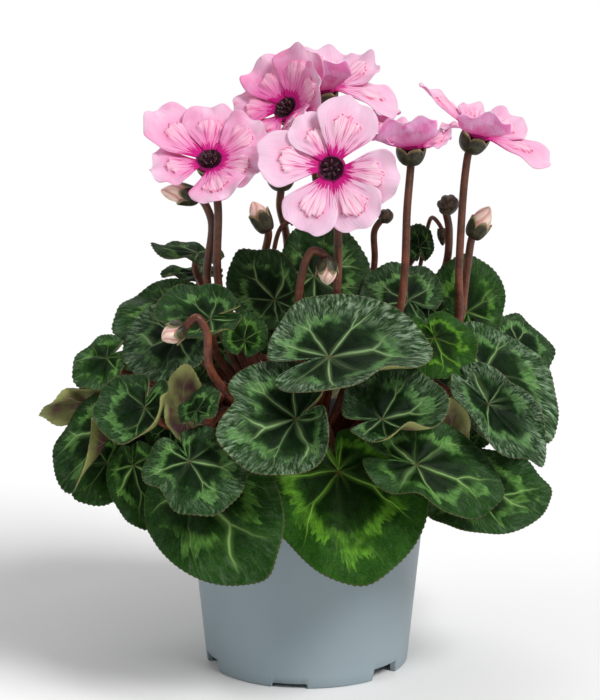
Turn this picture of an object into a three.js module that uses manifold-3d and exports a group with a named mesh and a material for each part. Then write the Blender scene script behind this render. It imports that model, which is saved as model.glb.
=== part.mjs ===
// Potted cyclamen in a plastic nursery pot.
// Millimetres, +Z up, origin on the pot's axis at the surface it stands on, front towards -Y.

import * as THREE from 'three';
import { mergeVertices } from 'three/addons/utils/BufferGeometryUtils.js';
import Module from 'manifold-3d';

const wasm = await Module();
wasm.setup();

// Driving dimensions of the pot
const POT_HEIGHT = 105;
const FOOT_RADIUS = 45;
const BODY_TOP_RADIUS = 54.6;
const RIM_RADIUS = 58.5;
const RIM_DEPTH = 9;
const POT_WALL = 1.6;
const FLOOR_HEIGHT = 6;
const FOOT_NOTCHES = 6;
const FOOT_NOTCH_ANGLE = 20;
const SHALLOW_NOTCH_HEIGHT = 2;
const DEEP_NOTCH_HEIGHT = 5;
const FOOT_NOTCH_START = -100;
const FOOT_NOTCH_DEPTH = 14;
const FOOT_RING_WIDTH = 2.7;
const RIM_CHAMFER = 0.6;
const DRAIN_HOLE_RADIUS = 4;
const DRAIN_HOLE_SIDES = 8;
const DRAIN_RING_RADIUS = 30.6;
const POT_SIDES = 30;

// Driving dimensions of the peat and the corm
const PEAT_TOP = 95;
const PEAT_CROWN = 1.5;
const SEAT_GAP = 0.3;
const CORM_RADIUS = 20;
const CORM_CENTRE = 94;
const CORM_HALF_HEIGHT = 9;
const CORM_SIDES = 10;
const CORM_BANDS = 4;

// Driving dimensions of the plant
const BLADE_THICKNESS = 0.9;
const LEAF_STALK_RADIUS = 1.5;
const LEAF_STALK_SIDES = 4;
const LEAF_STALK_STEPS = 3;
const LEAF_STALK_CREST = 117;
const LEAF_STALK_ARCH = 5;
const LEAF_STALK_HOOK = 8;
const LEAF_ROOT_HEIGHT = 97;
const OUTER_ROOT_RADIUS = 16;
const INNER_ROOT_RADIUS = 8;
const LOWEST_JOINT = 95;
const HIGHEST_JOINT = 160;
const SCAPE_RADIUS = 1.8;
const SCAPE_SIDES = 5;
const SCAPE_STEPS = 6;
const SCAPE_SINK = 2;
const PETAL_THICKNESS = 0.8;
const MARGIN_SPREAD = 3;
const RING_SPACING = 17.2;
const TOOTH_DEPTH = 0.018;

const RAD = Math.PI / 180;
const COLOURS = {
  pot: new THREE.MeshStandardMaterial({ color: 0x78899a, roughness: 0.5, metalness: 0 }),
  peat: new THREE.MeshStandardMaterial({ color: 0x2e211a, roughness: 0.95, metalness: 0 }),
  stalk: new THREE.MeshStandardMaterial({ color: 0x5a2c25, roughness: 0.45, metalness: 0 }),
  blade: new THREE.MeshStandardMaterial({ color: 0x28502f, roughness: 0.5, metalness: 0 }),
  petal: new THREE.MeshStandardMaterial({ color: 0xf0a2cc, roughness: 0.55, metalness: 0 }),
  bud: new THREE.MeshStandardMaterial({ color: 0xf0cdb6, roughness: 0.5, metalness: 0 }),
};

const model = new THREE.Group();

function addPiece(name, geometry, material) {
  const mesh = new THREE.Mesh(geometry, material);
  mesh.name = name;
  model.add(mesh);
}

// A closed three.js geometry as a solid that can be joined and cut
function solidOf(geometry) {
  const bare = geometry.index ? geometry.toNonIndexed() : geometry.clone();
  bare.deleteAttribute('normal');
  bare.deleteAttribute('uv');
  const merged = mergeVertices(bare, 1e-4);
  return new wasm.Manifold(new wasm.Mesh({
    numProp: 3,
    vertProperties: new Float32Array(merged.attributes.position.array),
    triVerts: new Uint32Array(merged.index.array),
  }));
}

function geometryOf(solid) {
  const { vertProperties, triVerts } = solid.getMesh();
  const geometry = new THREE.BufferGeometry();
  geometry.setAttribute('position', new THREE.BufferAttribute(new Float32Array(vertProperties), 3));
  geometry.setIndex(new THREE.BufferAttribute(new Uint32Array(triVerts), 1));
  return geometry;
}

function join(solids) {
  return solids.reduce((whole, piece) => whole.add(piece));
}

// Turned shapes stand on Z, while LatheGeometry turns about Y
function turned(profile, sides) {
  const points = profile.map(([r, z]) => new THREE.Vector2(r, z));
  return new THREE.LatheGeometry(points, sides).rotateX(Math.PI / 2);
}

function geometryFrom(points, triangles) {
  const geometry = new THREE.BufferGeometry();
  const position = new Float32Array(points.flatMap((p) => [p.x, p.y, p.z]));
  geometry.setAttribute('position', new THREE.BufferAttribute(position, 3));
  geometry.setIndex(triangles);
  return geometry;
}

// Pot: tapered wall on a notched foot ring, raised floor with drain holes, rolled rim
function pot() {
  const taper = (BODY_TOP_RADIUS - FOOT_RADIUS) / (POT_HEIGHT - RIM_DEPTH);
  const outer = (z) => FOOT_RADIUS + taper * z;
  const rimFoot = POT_HEIGHT - RIM_DEPTH;
  const profile = [
    [0, FLOOR_HEIGHT],
    [outer(FLOOR_HEIGHT) - 2 * POT_WALL, FLOOR_HEIGHT],
    [outer(0) - FOOT_RING_WIDTH, 0],
    [outer(0), 0],
    [outer(rimFoot), rimFoot],
    [RIM_RADIUS - RIM_CHAMFER, rimFoot + RIM_CHAMFER],
    [RIM_RADIUS, POT_HEIGHT],
    [outer(POT_HEIGHT) - POT_WALL, POT_HEIGHT],
    [outer(FLOOR_HEIGHT) - POT_WALL, FLOOR_HEIGHT + POT_WALL],
    [0, FLOOR_HEIGHT + POT_WALL],
  ];
  let body = solidOf(turned(profile, POT_SIDES));
  for (let k = 0; k < FOOT_NOTCHES; k += 1) {
    const turn = (FOOT_NOTCH_START + k * 360 / FOOT_NOTCHES) * RAD;
    const width = 2 * FOOT_RADIUS * Math.sin(FOOT_NOTCH_ANGLE / 2 * RAD);
    const height = k % 2 ? DEEP_NOTCH_HEIGHT : SHALLOW_NOTCH_HEIGHT;
    const notch = new THREE.BoxGeometry(FOOT_NOTCH_DEPTH, width, 2 * height)
      .translate(FOOT_RADIUS, 0, 0).rotateZ(turn);
    body = body.subtract(solidOf(notch));
    const hole = new THREE.CylinderGeometry(
      DRAIN_HOLE_RADIUS, DRAIN_HOLE_RADIUS, 3 * FLOOR_HEIGHT, DRAIN_HOLE_SIDES,
    ).rotateX(Math.PI / 2).translate(DRAIN_RING_RADIUS, 0, FLOOR_HEIGHT).rotateZ(turn);
    body = body.subtract(solidOf(hole));
  }
  return geometryOf(body);
}

// Peat: fills the pot to just under the rim, with a plain hole that the corm stands in
function peat() {
  const taper = (BODY_TOP_RADIUS - FOOT_RADIUS) / (POT_HEIGHT - RIM_DEPTH);
  const inner = (z) => FOOT_RADIUS + taper * z - POT_WALL - SEAT_GAP;
  const floor = FLOOR_HEIGHT + POT_WALL + SEAT_GAP;
  const sides = POT_SIDES / 2;
  const holeRadius = (CORM_RADIUS + SEAT_GAP) / Math.cos(Math.PI / sides);
  const holeFloor = CORM_CENTRE - CORM_HALF_HEIGHT - SEAT_GAP;
  const profile = [
    [0, floor],
    [inner(floor), floor],
    [inner(PEAT_TOP), PEAT_TOP],
    [0.6 * inner(PEAT_TOP), PEAT_TOP + PEAT_CROWN],
    [holeRadius, PEAT_TOP + PEAT_CROWN],
    [holeRadius, holeFloor],
    [0, holeFloor],
  ];
  return turned(profile, sides);
}

// Round stem along a smooth curve through its points
function stem(points, radius, sides, steps) {
  const spots = points.map((point) => new THREE.Vector3(...point));
  const curve = new THREE.CatmullRomCurve3(spots, false, 'centripetal');
  const ring = new THREE.Shape();
  for (let k = 0; k < sides; k += 1) {
    const turn = 2 * Math.PI * k / sides;
    const spot = [radius * Math.cos(turn), radius * Math.sin(turn)];
    if (k === 0) {
      ring.moveTo(...spot);
    } else {
      ring.lineTo(...spot);
    }
  }
  ring.closePath();
  const options = { extrudePath: curve, steps, bevelEnabled: false, curveSegments: 1 };
  return new THREE.ExtrudeGeometry(ring, options);
}

// Outline of the heart-shaped blade: its radius from the stalk's joint, as a share of its length.
// turn is 0 at the tip and 180 at the notch where the stalk comes in.
function outlineShare(turn) {
  const body = 0.8 + 0.2 * Math.cos(turn * RAD);
  const notch = 1 - 0.75 * Math.exp(-(((180 - Math.abs(turn)) / 8) ** 2));
  const tip = 0.05 * Math.exp(-((turn / 12) ** 2));
  return body * notch + tip;
}

// How far the folds of a blade lift its margin, and how much of its radius they draw in, at a turn
function foldsAt(leaf, turn) {
  const total = { lift: 0, draw: 0 };
  for (const [middle, width, lift, draw] of leaf.folds) {
    const off = (turn - middle + 540) % 360 - 180;
    const share = Math.exp(-((off / width) ** 2));
    total.lift += lift * share;
    total.draw += draw * share;
  }
  return total;
}

// A point of the blade's middle surface, before the blade is turned into place.
// Each direction out of the joint is an arc: it starts with the fold's slope and ends with its own.
const WIDEST_SHARE = 0.82;
function bladePoint(leaf, share, turn, tooth) {
  const backward = Math.max(0, -Math.cos(turn * RAD));
  const { lift, draw } = foldsAt(leaf, turn);
  const radius = outlineShare(turn) * (1 - (1 - leaf.lobes) * backward) * (1 + tooth) * (1 - draw);
  const along = leaf.length * radius * Math.cos(turn * RAD);
  const across = leaf.breadth / WIDEST_SHARE * radius * Math.sin(turn * RAD);
  const reach = Math.hypot(along, across);
  const heading = Math.atan2(across, along);
  const endways = Math.cos(heading) ** 2;
  const sideways = Math.sin(heading) ** 2;
  const [tip, left, back, right] = leaf.bends;
  const start = leaf.fold * sideways * RAD;
  const wave = leaf.wave * Math.sin(5 * turn * RAD + leaf.length) * share ** 3 + lift * share ** 2;
  const end = start + (endways * (Math.cos(heading) > 0 ? tip : back)
    + sideways * (Math.sin(heading) > 0 ? left : right)) * RAD + 1e-4;
  const slope = start + (end - start) * share;
  const outward = reach * (Math.sin(slope) - Math.sin(start)) / (end - start);
  const upward = reach * (Math.cos(start) - Math.cos(slope)) / (end - start);
  return new THREE.Vector3(outward * Math.cos(heading), outward * Math.sin(heading), upward + wave);
}

const RING_SHARES = [0.36, 0.72];

// Blade: one sheet with a scalloped, waved margin, split alike on both faces
function bladeGeometry(leaf) {
  const ringPoints = 2 * Math.ceil(leaf.length / RING_SPACING + 1.5);
  const marginPoints = MARGIN_SPREAD * ringPoints;
  const middle = [{ share: 0, turn: 0, tooth: 0 }];
  for (const share of RING_SHARES) {
    for (let k = 0; k < ringPoints; k += 1) {
      middle.push({ share, turn: k * 360 / ringPoints, tooth: 0 });
    }
  }
  for (let k = 0; k < marginPoints; k += 1) {
    middle.push({ share: 1, turn: k * 360 / marginPoints, tooth: k % 2 ? -TOOTH_DEPTH : TOOTH_DEPTH });
  }
  const spot = ({ share, turn, tooth }) => bladePoint(leaf, share, turn > 180 ? turn - 360 : turn, tooth);
  const points = middle.map(spot);
  const faces = [];
  const first = 1;
  const second = first + ringPoints;
  const margin = second + ringPoints;
  for (let k = 0; k < ringPoints; k += 1) {
    const inner = [first + k, first + (k + 1) % ringPoints];
    const outer = [second + k, second + (k + 1) % ringPoints];
    const edge = [0, 1, 2, 3].map((step) => margin + (MARGIN_SPREAD * k + step) % marginPoints);
    faces.push([0, inner[0], inner[1]]);
    faces.push([inner[0], outer[0], outer[1]], [inner[0], outer[1], inner[1]]);
    faces.push([outer[0], edge[0], edge[1]], [outer[0], edge[1], edge[2]]);
    faces.push([outer[0], edge[2], outer[1]], [outer[1], edge[2], edge[3]]);
  }
  const normals = points.map(() => new THREE.Vector3());
  for (const [a, b, c] of faces) {
    const normal = points[b].clone().sub(points[a]).cross(points[c].clone().sub(points[a]));
    [a, b, c].forEach((corner) => normals[corner].add(normal));
  }
  normals.forEach((normal) => normal.setLength(BLADE_THICKNESS / 2));
  const top = points.map((point, k) => point.clone().add(normals[k]));
  const under = points.map((point, k) => point.clone().sub(normals[k]));
  const count = points.length;
  const triangles = faces.flatMap(([a, b, c]) => [a, b, c, count + a, count + c, count + b]);
  for (let k = 0; k < marginPoints; k += 1) {
    const here = margin + k;
    const next = margin + (k + 1) % marginPoints;
    triangles.push(here, count + here, count + next, here, count + next, next);
  }
  return geometryFrom([...top, ...under], triangles).applyMatrix4(bladeMatrix(leaf));
}

// The blade points along +X with its upper face up before it gets its heading, slope and roll
function bladeMatrix(leaf) {
  const [heading, slope, roll] = leaf.turn.map((angle) => angle * RAD);
  return new THREE.Matrix4().makeTranslation(...leaf.at)
    .multiply(new THREE.Matrix4().makeRotationZ(heading))
    .multiply(new THREE.Matrix4().makeRotationY(-slope))
    .multiply(new THREE.Matrix4().makeRotationX(roll));
}

// Leaves: joint, then heading, slope and roll, then length and half width,
// then how far the blade has turned up at its tip, left side, back lobes and right side.
// A fold of the margin is its turn from the tip, its width, its lift and how much it draws in.
function leafRow(name, at, turn, [length, breadth], bends, options = {}) {
  const { fold = 0, lobes = 1, wave = 1.2, via = null, over = -1, folds = [] } = options;
  return { name, at, turn, length, breadth, bends, fold, lobes, wave, via, over, folds };
}

const FLAT = [0, 0, 0, 0];
const LEAVES = [
  leafRow('front_middle', [9, -66, 153], [11, 7, 33], [43, 33], [-10, 15, -10, 40],
    { folds: [[-55, 30, 9, 0.16]] }),
  leafRow('front_left', [-5, -76.4, 129.2], [-169, -13, -49], [34, 31], [20, 40, 92, -15],
    { via: [-6, -46, 131], folds: [[-24, 15, 5, 0.24], [140, 32, 5, 0.2]] }),
  leafRow('front_right', [31, -76, 129], [15, 9, 37], [28, 25], [25, 40, 20, 62],
    { via: [22, -46, 130], folds: [[-70, 25, 7, 0.2]] }),
  leafRow('hanging_front', [13, -70, 105], [-54, -66, 33], [47, 36], [0, -10, -10, 0],
    { lobes: 0.6, folds: [[-50, 25, 0, 0.12]] }),
  leafRow('hanging_left', [-48, -67, 99], [-44, -37, 54], [50, 29], [-10, 0, 0, -10], { lobes: 0.45 }),
  leafRow('low_left', [-49, -84, 113], [-59, -34, 26], [28, 22], [0, -10, 0, 0],
    { via: [-36, -54, 127], folds: [[-62, 20, 4, 0.22]] }),
  leafRow('low_right', [45, -78, 110], [2, -15, 48], [39, 22], [-20, 0, 10, -20],
    { via: [45, -48, 127], folds: [[-85, 30, 7, 0.28]] }),
  leafRow('right_skirt', [69, -52, 91], [28, -3, 52], [42, 20], [-10, 0, 0, 0]),
  leafRow('right_folded', [76, -58, 131], [-29, -42, 30], [34, 15], [-10, 40, 0, -10],
    { fold: 25, via: [50, -46, 138], folds: [[-25, 25, 5, 0.05]] }),
  leafRow('right_large', [76, -24, 137], [-18, -39, 25], [40, 33], [-10, -10, 0, 10]),
  leafRow('right_upright', [71, 19, 154], [89, 72, 20], [25, 18], [0, 10, 0, 10]),
  leafRow('right_back', [94, 25, 139], [30, -19, 42], [20, 16], FLAT, { via: [58, 14, 138] }),
  leafRow('right_bright', [54, -38, 155], [-59, -43, 15], [21, 17], FLAT),
  leafRow('crown_right', [44, -9, 165], [147, 24, -33], [22, 19], FLAT),
  leafRow('crown_back', [3, 6, 173], [8, 12, 54], [24, 25], FLAT),
  leafRow('crown_cup', [-14, -22, 168], [135, 37, -36], [26, 17], [20, 0, 30, 70]),
  leafRow('left_upper', [-56, -18, 161], [178, -13, -36], [28, 21], FLAT),
  leafRow('left_cup', [-41, -46, 165], [-177, -5, -30], [24, 18], [35, 40, 30, 40], { via: [-37, -28, 142] }),
  leafRow('left_grey', [-55, -41, 156], [177, -16, -43], [25, 20], [-10, 0, 0, 0]),
  leafRow('left_round', [-68, -66, 131.5], [-128, -54, -14], [24, 21], [60, 95, 20, 50],
    { via: [-56, -42, 116] }),
  leafRow('left_side', [-85.6, -34, 145], [-179, -33, -32], [17, 15], FLAT),
  leafRow('left_mauve', [-86, -50, 118], [-155, -52, -21], [30, 21], [0, 150, 0, 0]),
  leafRow('left_low', [-86, -38, 100], [-169, -49, -41], [20, 16], FLAT),
  leafRow('left_dark', [-74, -50, 102], [-67, -54, 37], [28, 13], FLAT, { lobes: 0.6 }),
  leafRow('middle_small', [-27, -38, 154], [78, 54, 10], [13, 10], FLAT, { via: [-15, -22, 128] }),
  leafRow('left_purple', [-51.4, -55, 123.5], [-95, 78, 0], [25, 9], FLAT, { lobes: 0.7, over: 1 }),
  leafRow('left_pointed', [-94, -31, 125], [188, -14, 50], [21, 12], FLAT, { via: [-62, -14, 128], over: 1 }),
  leafRow('middle_low', [-46, -70, 131], [60, 40, -10], [13, 10], FLAT, { via: [-34, -42, 132] }),
  leafRow('left_flat', [-48, 5, 183], [172, 8, -8], [20, 11], FLAT),
  leafRow('left_flat_under', [-47, 17, 172], [185, 2, -8], [17, 9], FLAT, { via: [-32, 6, 154] }),
  leafRow('right_small', [50, 30, 181], [100, 60, 0], [11, 7], FLAT, { via: [38, 38, 158] }),
  leafRow('right_olive', [60, -56, 114], [-80, 76, 0], [20, 9], FLAT, { over: 1 }),
  leafRow('inner_left', [-43, 14, 140], [-100, -50, 0], [20, 14], FLAT),
  leafRow('inner_right', [44, 17, 158], [-80, -40, 0], [17, 11], FLAT),
];

// Leaves behind, which lie like shingles in two rings and a crown, each turned a little to one side
const RING_TWIST = 8;
const RING_ROLL = 6;
function ringLeaf(name, heading, radius, height, slope, size, bends) {
  const at = [radius * Math.cos(heading * RAD), radius * Math.sin(heading * RAD), height];
  return leafRow(name, at, [heading + RING_TWIST, slope, RING_ROLL], size, bends);
}

for (const [k, heading] of [14, 46, 78, 110, 142, 173].entries()) {
  const low = k % 2;
  const [radius, height, slope] = [77 - 3 * low, 116 - 9 * low, -44 - 4 * low];
  LEAVES.push(ringLeaf(`back_low_${k + 1}`, heading, radius, height, slope, [40, 29], [-12, -8, 8, -8]));
}
for (const [k, heading] of [52, 84, 116, 148].entries()) {
  const low = (k + 1) % 2;
  const [radius, height, slope] = [54 + 8 * low, 154 - 12 * low, -26 - 4 * low];
  const row = ringLeaf(`back_high_${k + 1}`, heading, radius, height, slope, [31, 24], [-12, 6, 8, 6]);
  LEAVES.push({ ...row, lobes: 0.7 });
}
LEAVES.push({ ...ringLeaf('back_crown', 92, 45, 171, -10, [26, 22], [-10, 10, 10, 10]), lobes: 0.6 });

// The direction that a flower or bud faces: a lean away from straight up, towards a compass heading
function facing(heading, lean) {
  return new THREE.Vector3(
    Math.sin(lean * RAD) * Math.cos(heading * RAD),
    Math.sin(lean * RAD) * Math.sin(heading * RAD),
    Math.cos(lean * RAD),
  );
}

// Moves a shape that stands on the origin along +Z to a place where it faces another way
function stand(geometry, at, direction) {
  const turn = new THREE.Quaternion().setFromUnitVectors(new THREE.Vector3(0, 0, 1), direction);
  return geometry.applyQuaternion(turn).translate(at.x, at.y, at.z);
}

// Flowers: eye, then heading and lean of the face, then the petals and the scape's route.
// A petal is its angle about the eye, its length, its half width and how far it has bent back.
const EYE_RADIUS = 6;
const THROAT_DEPTH = 2.6;
const CALYX_DEPTH = 7;
const PETAL_BREADTHS = [0.12, 0.48, 1.06, 0.74];
const PETALS_ACROSS = 3;
const PETAL_ROLL = 9;
const PETAL_RISE = 12;
const PETAL_ROUNDING = 0.16;
const PETAL_WAVE = 0.7;
const CREST_HEIGHT = 2;
const OVARY_RADIUS = 2.4;
const OVARY_HEIGHT = 5.6;
const CUP_SIDES = 7;

function flowerRow(name, eye, heading, lean, petals, route) {
  return { name, eye: new THREE.Vector3(...eye), heading, lean, petals, route };
}

const FLOWERS = [
  flowerRow('front', [10, -45, 229], -90, 74, [
    [72, 30, 13, 8], [118, 25, 11, 12], [170, 31, 12, 6],
    [246, 29, 12, 4], [302, 28, 12, 6], [350, 28, 12, 4],
  ], [[4, -8, 98], [10, -26, 140], [13, -35, 185], [12, -34, 215]]),
  flowerRow('left', [-41, -30, 229], -100, 42, [
    [40, 26, 12, 0], [98, 26, 12, 0], [148, 33, 12, -6],
    [205, 25, 11, 2], [292, 24, 12, 4], [345, 24, 10, 0],
  ], [[-6, -5, 98], [-28, -15, 140], [-38, -24, 175], [-38, -30, 211]]),
  flowerRow('top_left', [-8, -8, 248], -130, 52, [
    [35, 24, 12, -14], [88, 27, 13, -8], [138, 28, 13, 0],
    [190, 26, 12, 4], [255, 18, 10, 0], [325, 20, 10, -14],
  ], [[0, 8, 98], [4, 26, 150], [6, 28, 190], [0, 2, 235]]),
  flowerRow('top', [7, 12, 253], -90, 6, [
    [35, 27, 12, -14], [90, 25, 12, -20], [150, 19, 10, -14],
    [205, 15, 9, -20], [272, 23, 13, -32], [348, 34, 11, 28],
  ], [[6, 8, 98], [14, 26, 150], [15, 30, 190], [8, 16, 235]]),
  flowerRow('right', [44.5, -10, 232], -90, 6, [
    [345, 18, 9, -4], [45, 14, 9, -8], [95, 17, 10, -10],
    [142, 24, 11, -14], [198, 19, 10, -4], [268, 22, 13, -32],
  ], [[9, -5, 98], [29, -22, 135], [40, -23, 165], [43, -14, 208]]),
  flowerRow('far_right', [72.5, 0, 235.3], -10, 22, [
    [60, 34, 13, 0], [15, 20, 10, -12], [325, 24, 11, -15],
    [270, 34, 12, 11], [104, 16, 9, 24], [195, 20, 12, -26],
  ], [[12, -2, 98], [48, -10, 126], [65, -6, 152], [66, -5, 180], [68, -2, 216]]),
  flowerRow('back_left', [-11.5, 13, 217], -90, 8, [
    [10, 11, 5, -6], [70, 16, 9, -12], [130, 19, 10, -10],
    [190, 20, 11, 0], [248, 17, 10, -28], [300, 14, 7, -14],
  ], [[-4, 9, 98], [-8, 28, 150], [-9, 28, 185], [-12, 17, 202]]),
];

// One petal, in the flower's own frame: a sheet from the throat outwards along +X, with its
// upper face up, a rounded end, a waved edge and a raised crest along its middle
function petalGeometry(length, halfWidth, back) {
  const root = EYE_RADIUS * 0.75;
  const petalsAlong = PETAL_BREADTHS.length - 1;
  const rows = [];
  for (let i = 0; i <= petalsAlong; i += 1) {
    const s = i / petalsAlong;
    const breadth = halfWidth * PETAL_BREADTHS[i];
    const slope = (PETAL_RISE - back * s) * RAD;
    const row = [];
    for (let j = 0; j <= PETALS_ACROSS; j += 1) {
      const t = 2 * j / PETALS_ACROSS - 1;
      const out = root + (length - root) * s * (1 - PETAL_ROUNDING * t * t * s);
      const crest = Math.abs(t) < 0.5 && i > 0 && i < petalsAlong ? CREST_HEIGHT : 0;
      const wave = PETAL_WAVE * s * Math.sin(1.5 * Math.PI * t + length);
      row.push(new THREE.Vector3(out * Math.cos(slope), breadth * t, out * Math.sin(slope) + wave + crest));
    }
    rows.push(row);
  }
  const across = PETALS_ACROSS + 1;
  const top = rows.flat();
  const count = top.length;
  const under = top.map((p) => new THREE.Vector3(p.x, p.y, p.z - PETAL_THICKNESS));
  const triangles = [];
  for (let i = 0; i < petalsAlong; i += 1) {
    for (let j = 0; j < PETALS_ACROSS; j += 1) {
      const a = i * across + j;
      const b = a + across;
      triangles.push(a, b, b + 1, a, b + 1, a + 1);
      triangles.push(count + a, count + b + 1, count + b, count + a, count + a + 1, count + b + 1);
    }
  }
  const rim = [];
  for (let j = 0; j < PETALS_ACROSS; j += 1) rim.push(j);
  for (let i = 0; i < petalsAlong; i += 1) rim.push(i * across + PETALS_ACROSS);
  for (let j = PETALS_ACROSS; j > 0; j -= 1) rim.push(petalsAlong * across + j);
  for (let i = petalsAlong; i > 0; i -= 1) rim.push(i * across);
  rim.forEach((here, k) => {
    const next = rim[(k + 1) % rim.length];
    triangles.push(here, next, count + next, here, count + next, count + here);
  });
  return geometryFrom([...top, ...under], triangles);
}

function corolla(flower) {
  const throat = turned([[0, 0], [EYE_RADIUS * 0.7, 0], [EYE_RADIUS, THROAT_DEPTH * 0.6],
    [EYE_RADIUS * 0.8, THROAT_DEPTH], [OVARY_RADIUS, THROAT_DEPTH * 0.7], [0, OVARY_HEIGHT]], CUP_SIDES);
  const pieces = [solidOf(throat)];
  for (const [angle, length, halfWidth, back] of flower.petals) {
    const petal = petalGeometry(length, halfWidth, back).rotateX(PETAL_ROLL * RAD)
      .translate(0, 0, THROAT_DEPTH * 0.5).rotateZ((angle - 90) * RAD);
    pieces.push(solidOf(petal));
  }
  return join(pieces);
}

// In the flower's frame +X is its up side as seen from in front, and +Z is the way it faces
function flowerMatrix(flower) {
  const normal = facing(flower.heading, flower.lean);
  const right = new THREE.Vector3(-Math.sin(flower.heading * RAD), Math.cos(flower.heading * RAD), 0);
  const up = normal.clone().cross(right);
  return new THREE.Matrix4().makeBasis(up, right.negate(), normal).setPosition(flower.eye);
}

// Buds: foot of the calyx, heading and lean of the bud, its radius, calyx depth and tip length,
// then the scape's route
function budRow(name, foot, heading, lean, size, route) {
  return { name, foot: new THREE.Vector3(...foot), heading, lean, size, route };
}

const BUDS = [
  budRow('left', [-46, -22, 213], 180, 80, [4.6, 8, 9], [
    [-9, -4, 98], [-32, -13, 140], [-43, -20, 175], [-41, -22, 203],
  ]),
  budRow('left_back', [-17, 4, 193], 160, 30, [4.6, 9, 6], [
    [-6, 4, 98], [-22, 16, 150], [-20, 14, 175],
  ]),
  budRow('right', [72, 5, 190], 0, 28, [4.8, 8, 8], [
    [12, 3, 98], [50, 2, 126], [66, 5, 150], [70, 6, 175],
  ]),
  budRow('hooked', [8, -42, 191], -80, 165, [4.6, 6, 6], [
    [1, -10, 98], [-3, -32, 150], [-3, -43, 180], [2, -44, 194],
  ]),
  budRow('low_hooked', [-51, -70, 167], -160, 115, [4.8, 5, 6], [
    [-6, -9, 98], [-32, -50, 132], [-41, -68, 150], [-42, -70, 165], [-46, -70, 171],
  ]),
];

// Young buds that are still wrapped in their dark sepals, and so are one with their scapes
const YOUNG_BUDS = [
  budRow('right_back', [61, 21, 201], -60, 60, [4.6, 9], [
    [9, 6, 98], [42, 24, 140], [61, 28, 170], [63, 25, 190],
  ]),
  budRow('middle_back', [34, 22, 196], -60, 60, [3.4, 6], [
    [8, 9, 98], [24, 28, 140], [30, 26, 175], [30, 24, 190],
  ]),
  budRow('small_hooked', [60, 33, 189], 0, 175, [2.2, 8], [
    [8, 9, 98], [34, 21, 145], [49, 33, 166], [53, 42, 182], [56, 38, 193],
  ]),
  budRow('curled', [-8, 12, 196], 0, 60, [2.4, 5], [
    [-2, 10, 98], [-16, 20, 150], [-14, 14, 186], [-11, 12, 194],
  ]),
];

function budParts(bud) {
  const [radius, calyxDepth, tipLength] = bud.size;
  const direction = facing(bud.heading, bud.lean);
  const calyx = turned([[0, 0], [SCAPE_RADIUS, 0], [radius * 0.85, calyxDepth * 0.4],
    [radius, calyxDepth], [0, calyxDepth]], CUP_SIDES);
  const tip = turned([[0, 0], [radius * 0.88, 0], [radius * 0.85, tipLength * 0.3],
    [radius * 0.5, tipLength * 0.75], [0, tipLength]], CUP_SIDES);
  const seat = bud.foot.clone().addScaledVector(direction, calyxDepth + SEAT_GAP);
  return { calyx: stand(calyx, bud.foot, direction), tip: stand(tip, seat, direction) };
}

function youngBud(bud) {
  const [radius, length] = bud.size;
  const shape = turned([[0, 0], [radius * 0.5, 0], [radius, length * 0.45], [0, length]], CUP_SIDES - 1);
  return stand(shape, bud.foot, facing(bud.heading, bud.lean));
}

function calyxOf(flower) {
  const normal = facing(flower.heading, flower.lean);
  const profile = [[0, 0], [SCAPE_RADIUS, 0], [EYE_RADIUS * 0.8, CALYX_DEPTH * 0.5],
    [EYE_RADIUS, CALYX_DEPTH], [0, CALYX_DEPTH]];
  const foot = flower.eye.clone().addScaledVector(normal, -(CALYX_DEPTH + SEAT_GAP));
  return { solid: solidOf(stand(turned(profile, CUP_SIDES), foot, normal)), foot };
}

// The leaf stalk leaves the corm towards its blade and comes up to the joint from the underside
const STALK_BEND_SHARE = 0.55;
function leafStalk(leaf) {
  const normal = new THREE.Vector3(0, 0, 1).transformDirection(bladeMatrix(leaf));
  const joint = new THREE.Vector3(...leaf.at);
  const end = joint.clone().addScaledVector(normal, leaf.over * (BLADE_THICKNESS / 2 + SEAT_GAP));
  const near = joint.clone().addScaledVector(normal, leaf.over * LEAF_STALK_HOOK);
  const heading = Math.atan2(joint.y, joint.x);
  const rootRadius = THREE.MathUtils.mapLinear(
    Math.min(joint.z, HIGHEST_JOINT), LOWEST_JOINT, HIGHEST_JOINT, OUTER_ROOT_RADIUS, INNER_ROOT_RADIUS,
  );
  const start = new THREE.Vector3(
    rootRadius * Math.cos(heading), rootRadius * Math.sin(heading), LEAF_ROOT_HEIGHT,
  );
  const middle = start.clone().lerp(near, STALK_BEND_SHARE);
  middle.z = Math.max(middle.z + LEAF_STALK_ARCH, LEAF_STALK_CREST);
  const route = [start.toArray(), leaf.via ?? middle.toArray(), near.toArray(), end.toArray()];
  return solidOf(stem(route, LEAF_STALK_RADIUS, LEAF_STALK_SIDES, LEAF_STALK_STEPS));
}

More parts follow.
